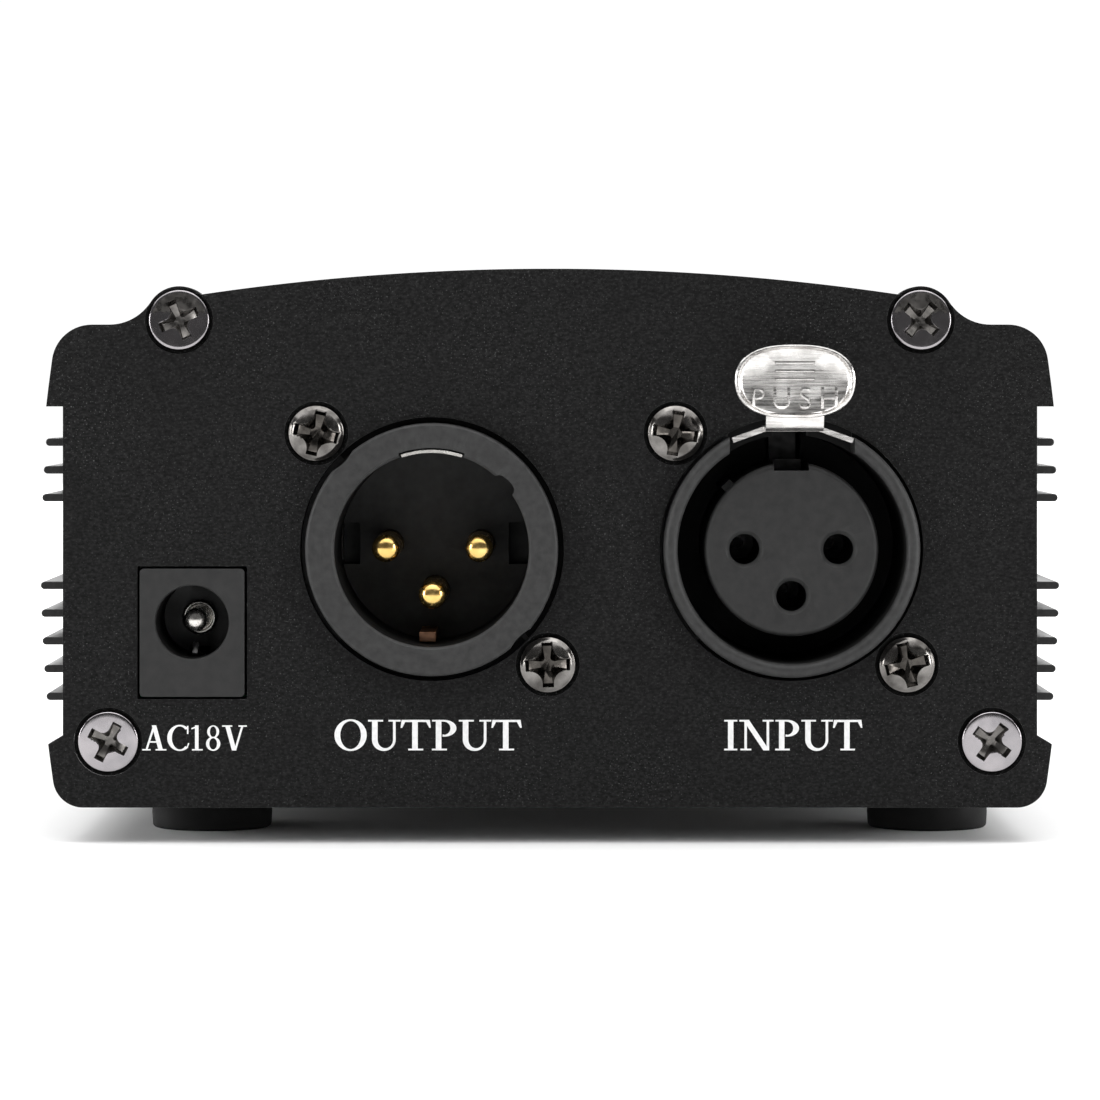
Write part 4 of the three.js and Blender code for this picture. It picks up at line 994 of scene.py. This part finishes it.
def slant(x0, x1, width):
    """A stroke that leans from x0 at its foot to x1 at its top."""
    return [(x0, 0.0), (x0 + width, 0.0), (x1 + width, 1.0), (x1, 1.0)]


def feet_at(x, spread, z):
    """A serif at the foot (z = 0) or the top (z = 1) of a stroke centred on x."""
    z0, z1 = (0.0, FOOT_T) if z == 0 else (1 - FOOT_T, 1.0)
    return rectangle(x - spread, x + spread, z0, z1)


def bowl(cx, cz, outer, inner, start, end, steps=24):
    """A band between two ellipses, heavier at its sides."""
    def ellipse(size, a, b):
        return [(cx + size[0] * x, cz + size[1] * z) for x, z in arc(0, 0, 1, a, b, steps)]
    return ellipse(outer, start, end) + ellipse(inner, end, start)


def glyph(letter):
    """(strokes, width) of one letter."""
    if letter == "I":
        return [stem(0.13, STEM), feet_at(0.205, 0.18, 0), feet_at(0.205, 0.18, 1)], 0.44
    if letter == "N":
        strokes = [stem(0.14, FINE), stem(0.75, FINE)]
        strokes += [slant(0.66, 0.1, 0.165), feet_at(0.18, 0.15, 0), feet_at(0.79, 0.15, 1)]
        return strokes + [rectangle(0.0, 0.2, 1 - FOOT_T, 1)], 0.97
    if letter == "P":
        strokes = [stem(0.12, STEM), feet_at(0.215, 0.2, 0)]
        strokes += [rectangle(0.02, 0.34, 1 - FOOT_T, 1), rectangle(0.3, 0.34, 0.45, 0.52)]
        return strokes + [bowl(0.34, 0.725, (0.33, 0.275), (0.17, 0.215), -90, 90)], 0.72
    if letter == "U":
        strokes = [stem(0.12, STEM, 0.34), stem(0.68, FINE, 0.34)]
        strokes += [feet_at(0.215, 0.2, 1), feet_at(0.72, 0.16, 1)]

        def trough(left, right, deep):
            centre, half = (left + right) / 2, (right - left) / 2
            return [(centre + half * x, 0.35 + deep * z) for x, z in arc(0, 0, 1, 180, 360, 28)]

        outer, inner = trough(0.12, 0.68 + FINE, 0.37), trough(0.12 + STEM, 0.68, 0.28)
        return strokes + [outer + inner[::-1]], 0.88
    if letter == "T":
        strokes = [stem(0.31, STEM), feet_at(0.405, 0.2, 0), rectangle(0.03, 0.78, 0.93, 1)]
        tips = [[(0.03, 1), (0.0, 0.74), (0.045, 0.74), (0.13, 0.94)]]
        tips += [[(0.81 - x, z) for x, z in tips[0]][::-1]]
        return strokes + tips, 0.82
    if letter == "O":
        halves = [bowl(0.45, 0.5, (0.43, 0.52), (0.275, 0.46), *ends) for ends in ((-90, 90), (90, 270))]
        return halves, 0.9
    if letter == "A":
        strokes = [slant(0.1, 0.37, FINE), slant(0.55, 0.32, STEM), rectangle(0.2, 0.6, 0.31, 0.37)]
        return strokes + [feet_at(0.14, 0.14, 0), feet_at(0.63, 0.18, 0)], 0.82
    if letter == "C":
        strokes = [bowl(0.44, 0.5, (0.42, 0.52), (0.265, 0.46), 46, 314, 30)]
        tail = [(0.66, 0.08), (0.7, 0.09), (0.76, 0.28), (0.72, 0.3)]
        return strokes + [rectangle(0.68, 0.73, 0.66, 0.98), tail], 0.78
    if letter == "1":
        flag = [(0.05, 0.84), (0.2, 0.89), (0.26, 1.0), (0.05, 0.89)]
        return [stem(0.17, STEM - 0.03), feet_at(0.25, 0.18, 0), flag], 0.5
    if letter == "8":
        rings = [(0.28, 0.745, (0.2, 0.255), (0.11, 0.21)), (0.28, 0.265, (0.24, 0.28), (0.13, 0.225))]
        return [bowl(*ring, *ends) for ring in rings for ends in ((-90, 90), (90, 270))], 0.57
    # V
    strokes = [slant(0.34, 0.11, STEM), slant(0.41, 0.66, FINE), feet_at(0.18, 0.17, 1)]
    return strokes + [feet_at(0.7, 0.14, 1)], 0.84


def label(name, text, height, width, x, z):
    """A printed word, centred at x and standing on z, squeezed to its width."""
    strokes, reach = [], 0.0
    for letter in text:
        shapes, advance = glyph(letter)
        strokes += [[(px + reach, pz) for px, pz in shape] for shape in shapes]
        reach += advance
    scale = width / reach
    solids = []
    for i, shape in enumerate(strokes):
        outline = [((px - reach / 2) * scale, pz * height) for px, pz in shape]
        solids.append(prism(outline, -0.012 - 0.0006 * i, 0.01))
    made = piece(name, merged(solids), [LABEL_INK], (x, REAR_Y, z))


def rear_labels():
    foot_z = BASE_Z + 4.93
    label("label_output", "OUTPUT", 2.62, 16.2, OUTPUT.x - 0.35, foot_z)
    label("label_input", "INPUT", 2.62, 12.0, INPUT.x + 0.15, foot_z)
    label("label_power", "AC18V", 2.16, 9.0, INLET.x + 0.2, foot_z - 0.01)


# -------------------- front plate
# Made facing -Y about each control's axis, then turned half round.

GAIN = on_plate("gain_knob", FRONT_Y)
LEVEL = on_plate("level_knob", FRONT_Y)
JACK = on_plate("instrument_jack_body", FRONT_Y)
PHANTOM = on_plate("phantom_button", FRONT_Y)
PAD = on_plate("pad_button", FRONT_Y)
FLUTES = 24
DIAL_R = 10.0
LAMP = Vector((middle("pilot_lamp").x, FRONT_Y, high("pilot_lamp").z - 1.9))


def front_plate():
    tools = corner_countersinks()
    for centre, r in ((GAIN, 4.7), (LEVEL, 4.7), (JACK, 5.0), (LAMP, 1.8)):
        tools.append(moved(rod(r, -1, PLATE_T + 1, 64), -centre.x, 0, centre.z))
    for centre in (PHANTOM, PAD):
        tools.append(moved(square_bar(3.5, -1, PLATE_T + 1), -centre.x, 0, centre.z))
    solid = cut(plate_blank(), *tools)
    # The bevelled edges get the edge coat: real wear, partly a painted highlight.
    fitted(
        "front_plate", "plate_coat", "front_end_plate", solid, [COAT, WORN_HIGHLIT_EDGE],
        (0, FRONT_Y, 0), HALF_TURN, 0.16,
    )


def knob(name, node, centre, body):
    """Fluted skirted knob with an inlaid pointer."""
    r, face, back = 9.0, low_front(node), -1.6
    profile = [(0, face + 0.25), (r - 3.2, face + 0.12), (r - 2.3, face)]
    profile += arc(r - 2.1, face + 0.9, 0.9, 270, 350, 6)
    profile += [(r - 0.75, back - 3.6), (r - 0.6, back - 3.1), (r - 0.1, back - 2.7), (r, back - 2.4)]
    profile += [(r, back), (7.3, back), (7.3, -6), (3.3, -6), (3.3, face + 2), (0, face + 2)]
    solid = turned(profile, 144)
    flutes = []
    for i in range(FLUTES):
        a = 2 * math.pi * (i + 0.5) / FLUTES
        flute = turned([(0, face - 1), (0.62, face - 1), (0.62, back - 3.6), (0, back - 3.2)], 20)
        flutes.append(moved(flute, (r - 0.95) * math.cos(a), 0, (r - 0.95) * math.sin(a)))
    pointer = block(-0.42, 0.42, face - 1, face + 0.45, 2.4, r + 1)
    solid = cut(cut(solid, *flutes), pointer)
    fitted(node, "knob", name, solid, [KNOB_PLASTIC], centre, HALF_TURN, 0.06, body=body)
    line = block(-0.36, 0.36, face + 0.3, face + 0.7, 2.5, r - 1.6)
    made = piece(name + "_pointer", line, [LABEL_INK], centre, HALF_TURN, 0.04, body=body)


def low_front(node):
    """How far a front node stands out of the plate, as a y of its own frame."""
    return FRONT_Y - high(node).y


def hexagon(flats):
    return arc(0, 0, flats / math.sqrt(3), 30, 330, 5)


def threaded(r, y0, y1, pitch=0.5):
    """A bush with the ridges of a fine thread."""
    points = [(0, y0)]
    for i in range(int((y1 - y0) / pitch)):
        points += [(r - 0.16, y0 + pitch * i), (r, y0 + pitch * (i + 0.5))]
    return turned(points + [(r - 0.16, y1), (0, y1)], 64)


def rotary(name, centre, body):
    knob(f"{name}_control_knob", f"{name}_knob", centre, body)
    solid = cut(prism(hexagon(11.4), -2.3, -0.3), rod(4.62, -4, 1))
    fitted(f"{name}_pot_nut", "steel", f"{name}_bush_nut", solid, [ZINC], centre, HALF_TURN, 0.12)
    shaft = cut(rod(3.0, -14, 9), block(1.6, 4, -15, -6, -4, 4))
    fitted(
        f"{name}_pot_shaft", "steel", f"{name}_control_shaft", shaft, [ZINC], centre, HALF_TURN,
        ease=0.1, body=body,
    )
    foot_z = low(f"{name}_pot_body").z - centre.z
    can = turned([(0, 3.6), (7.9, 3.6), (8.2, 3.9), (8.2, 10.8), (8.0, 11), (0, 11)])
    parts = [square_bar(6.5, 2.8, 3.8), can, block(-5, 5, 5, 6.6, foot_z, -4)]
    solid = cut(joined(threaded(4.4, -5, 3.0), *parts), rod(3.3, -6, 9.5))
    fitted(f"{name}_pot_body", "steel", f"{name}_control_can", solid, [ZINC], centre, HALF_TURN)


def instrument_jack():
    bush, bore, half, depth = 4.7, 3.3, 7.8, FRONT_Y - low("instrument_jack_body").y
    inside = PLATE_T + 0.3
    collar = joined(threaded(bush, -4, inside + 0.5), square_bar(half, inside, depth))
    mouth = [(0, -5), (bore + 0.5, -5), (bore + 0.5, -4), (bore, -3.5), (bore, depth - 1), (0, depth - 1)]
    solid = cut(cut(collar, turned(mouth, 64)), block(-1.5, 1.5, 8, depth + 1, 0, 6.4))
    fitted(
        "instrument_jack_body", "nylon", "jack_body", solid, [JACK_NYLON], JACK, HALF_TURN,
        ease=0.08, angle=50,
    )
    washer = turned([(5.2, -0.7), (6.9, -0.7), (6.9, -0.1), (5.2, -0.1)])
    solid = joined(cut(prism(hexagon(13), -2.4, -0.6), rod(5.0, -5, 1)), washer)
    fitted("instrument_jack_nut", "nickel", "jack_nut", solid, [NICKEL], JACK, HALF_TURN, 0.12)
    spring = [(26, 5.6), (18.4, 5.6), (17.4, 3.8), (16.8, 3.7), (16, 5.2)]
    solid = across(ribbon(spring, 0.4), -1, 1)
    fitted(
        "instrument_jack_tip_spring", "nickel", "jack_tip_spring", solid, [NICKEL], JACK,
        HALF_TURN, 0.05,
    )


def push_switch(name, centre):
    node = f"{name}_button"
    half, out = 3.2, low_front(node)
    cap = joined(square_bar(half, out, 5), square_bar(1.5, 4.5, 12))
    dish = moved(turned([(0, -0.6), (2.6, -0.6), (2.2, 0.16), (0, 0.22)], 64), 0, out, 0)
    fitted(
        node, "cap", f"{name}_cap", cut(cap, dish), [CAP_PLASTIC], centre, HALF_TURN,
        ease=0.35, steps=4, angle=50, body=f"{name}_key",
    )
    solid = cut(square_bar(3.6, 9, 20), square_bar(1.8, 8, 16))
    fitted(
        f"{name}_switch_body", "dark_nylon", f"{name}_switch", solid, [JACK_NYLON], centre,
        HALF_TURN, 0.15,
    )


def pilot_lamp():
    turns = [math.radians(a) for a in range(0, 91, 10)]
    dome = [(1.5 * math.sin(a), 0.2 - 1.5 * math.cos(a)) for a in turns]
    lens = turned(dome + [(1.5, 3.4), (1.9, 3.4), (1.9, 4.4), (0, 4.4)], 64)
    foot_z = low("pilot_lamp").z - LAMP.z
    leg = ribbon([(4.0, 0.0), (8.0, 0.0), (8.0, foot_z)], 0.5)
    legs = [across(leg, x - 0.25, x + 0.25) for x in (-0.635, 0.635)]
    fitted("pilot_lamp", "lamp", "pilot_lens", joined(lens, *legs), [LENS], LAMP, HALF_TURN)


def front_print(name, bm, x, z):
    made = piece(name, bm, [LABEL_INK], (x, FRONT_Y, z), HALF_TURN)


def dial(name, centre):
    """Eleven marks round a knob, from the lower left to the lower right."""
    marks = []
    for step in range(11):
        reach = 1.6 if step % 5 == 0 else 1.0
        mark = block(-0.14, 0.14, -0.014, 0.01, DIAL_R, DIAL_R + reach)
        marks.append(moved(mark, turn=150 - 30 * step))
    front_print(name + "_marks", merged(marks), centre.x, centre.z)


def front_labels():
    dial("gain_dial", GAIN)
    dial("level_dial", LEVEL)
    spots = {"GAIN": (GAIN.x, GAIN.z - 12.4), "LEVEL": (LEVEL.x, LEVEL.z - 12.4)}
    spots |= {"48V": (PHANTOM.x, PHANTOM.z + 5.2), "PAD": (PAD.x, PAD.z + 5.2)}
    spots |= {"DI INPUT": (JACK.x, JACK.z + 9.4), "ON": (LAMP.x, LAMP.z + 3.6)}
    for text, (x, z) in spots.items():
        name = "label_" + text.lower().replace(" ", "_")
        front_print(name, moved(word(text, 1.7, 0.02, 1.1), 0, -0.004, 0), x, z)


# -------------------- inside


def repaint():
    """Finishes for the CAD nodes whose shape stays."""
    finishes = {
        "circuit_board": BOARD,
        "transformer_core": CORE,
        "transformer_winding": COIL,
        "filter_capacitor_1": SLEEVE,
        "filter_capacitor_2": SLEEVE,
        "voltage_regulator": JACK_NYLON,
    }
    for node, finish in finishes.items():
        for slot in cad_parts[node].material_slots:
            slot.link = "OBJECT"
            slot.material = finish


# -------------------- stage

CAMERA_DISTANCE = 400  # from the rear plate's face, in mm
CAMERA_Z = BASE_Z + 37.2
FIELD = 94.6  # width of view at that distance
DROP = 0.159  # how far the frame's middle is below the camera's axis, in frame widths
SENSOR = 36
FLOOR_R = 1.6  # in metres, as the lights' places and sizes are
SEEN_WHITE = 1.05
SOFT_WHITE = 0.12


def camera():
    data = bpy.data.cameras.new("camera")
    made = linked("camera", data)
    data.sensor_width = SENSOR
    data.lens = SENSOR * CAMERA_DISTANCE / FIELD
    data.shift_y = -DROP
    data.clip_start = 0.01
    made.location = Vector((0, REAR_Y - CAMERA_DISTANCE, CAMERA_Z)) * MM
    made.rotation_euler = (math.pi / 2, 0, 0)
    bpy.context.scene.camera = made


def softbox(name, at, target, size, watts):
    data = bpy.data.lights.new(name, "AREA")
    data.shape = "RECTANGLE"
    data.size, data.size_y = size
    data.energy = watts
    made = linked(name, data)
    made.location = at
    made.rotation_euler = (Vector(target) - Vector(at)).to_track_quat("-Z", "Y").to_euler()


def floor():
    bm = bmesh.new()
    bmesh.ops.create_circle(bm, cap_ends=True, radius=FLOOR_R, segments=96)
    made = as_object("floor", bm)
    surface = Finish("pale_floor", specular=0.2)
    surface.colour(surface.ramp(surface.noise(400, 2), [(0.3, 0.86), (0.7, 0.88)]))
    surface.shader.inputs["Roughness"].default_value = 0.8
    made.data.materials.append(surface.material)


def surroundings():
    """A white studio: bright where the camera looks straight at it, softer as a light."""
    world = bpy.data.worlds.new("studio")
    bpy.context.scene.world = world
    world.use_nodes = True
    nodes, links = world.node_tree.nodes, world.node_tree.links
    nodes.clear()
    choice = nodes.new("ShaderNodeMixShader")
    path = nodes.new("ShaderNodeLightPath")
    out = nodes.new("ShaderNodeOutputWorld")
    links.new(path.outputs["Is Camera Ray"], choice.inputs[0])
    for socket, strength in ((1, SOFT_WHITE), (2, SEEN_WHITE)):
        white = nodes.new("ShaderNodeBackground")
        white.inputs["Color"].default_value = (1, 1, 1, 1)
        white.inputs["Strength"].default_value = strength
        links.new(white.outputs[0], choice.inputs[socket])
    links.new(choice.outputs[0], out.inputs["Surface"])


def studio():
    bpy.context.scene.view_settings.view_transform = "Standard"
    surroundings()
    floor()
    softbox("sky_box", (0, 0.3, 3.0), (0, 0.3, 0), (8, 8), 340)
    softbox("top_box", (0, -0.2, 1.3), (0, 0, 0), (1.1, 1.1), 7)
    for side, x in (("left", -1), ("right", 1)):
        softbox(side + "_box", (0.6 * x, 0.06, 0.11), (0, 0.04, 0.01), (0.5, 0.2), 2)
        softbox(side + "_strip", (0.5 * x, -0.35, 0.12), (0, -0.06, 0.03), (0.1, 0.24), 1)
    softbox("back_box", (0, 1.2, 0.3), (0, 0, 0.03), (2.6, 0.5), 12)


camera()
shells()
rear_plate()
for corner in ("rear_left", "rear_right", "front_left", "front_right"):
    foot("rubber_foot_" + corner, "foot_" + corner)
screws()
output_connector()
input_connector()
latch()
power_inlet()
rear_labels()
front_plate()
rotary("gain", GAIN, "gain_control")
rotary("level", LEVEL, "level_control")
instrument_jack()
push_switch("phantom", PHANTOM)
push_switch("pad", PAD)
pilot_lamp()
front_labels()
repaint()
studio()
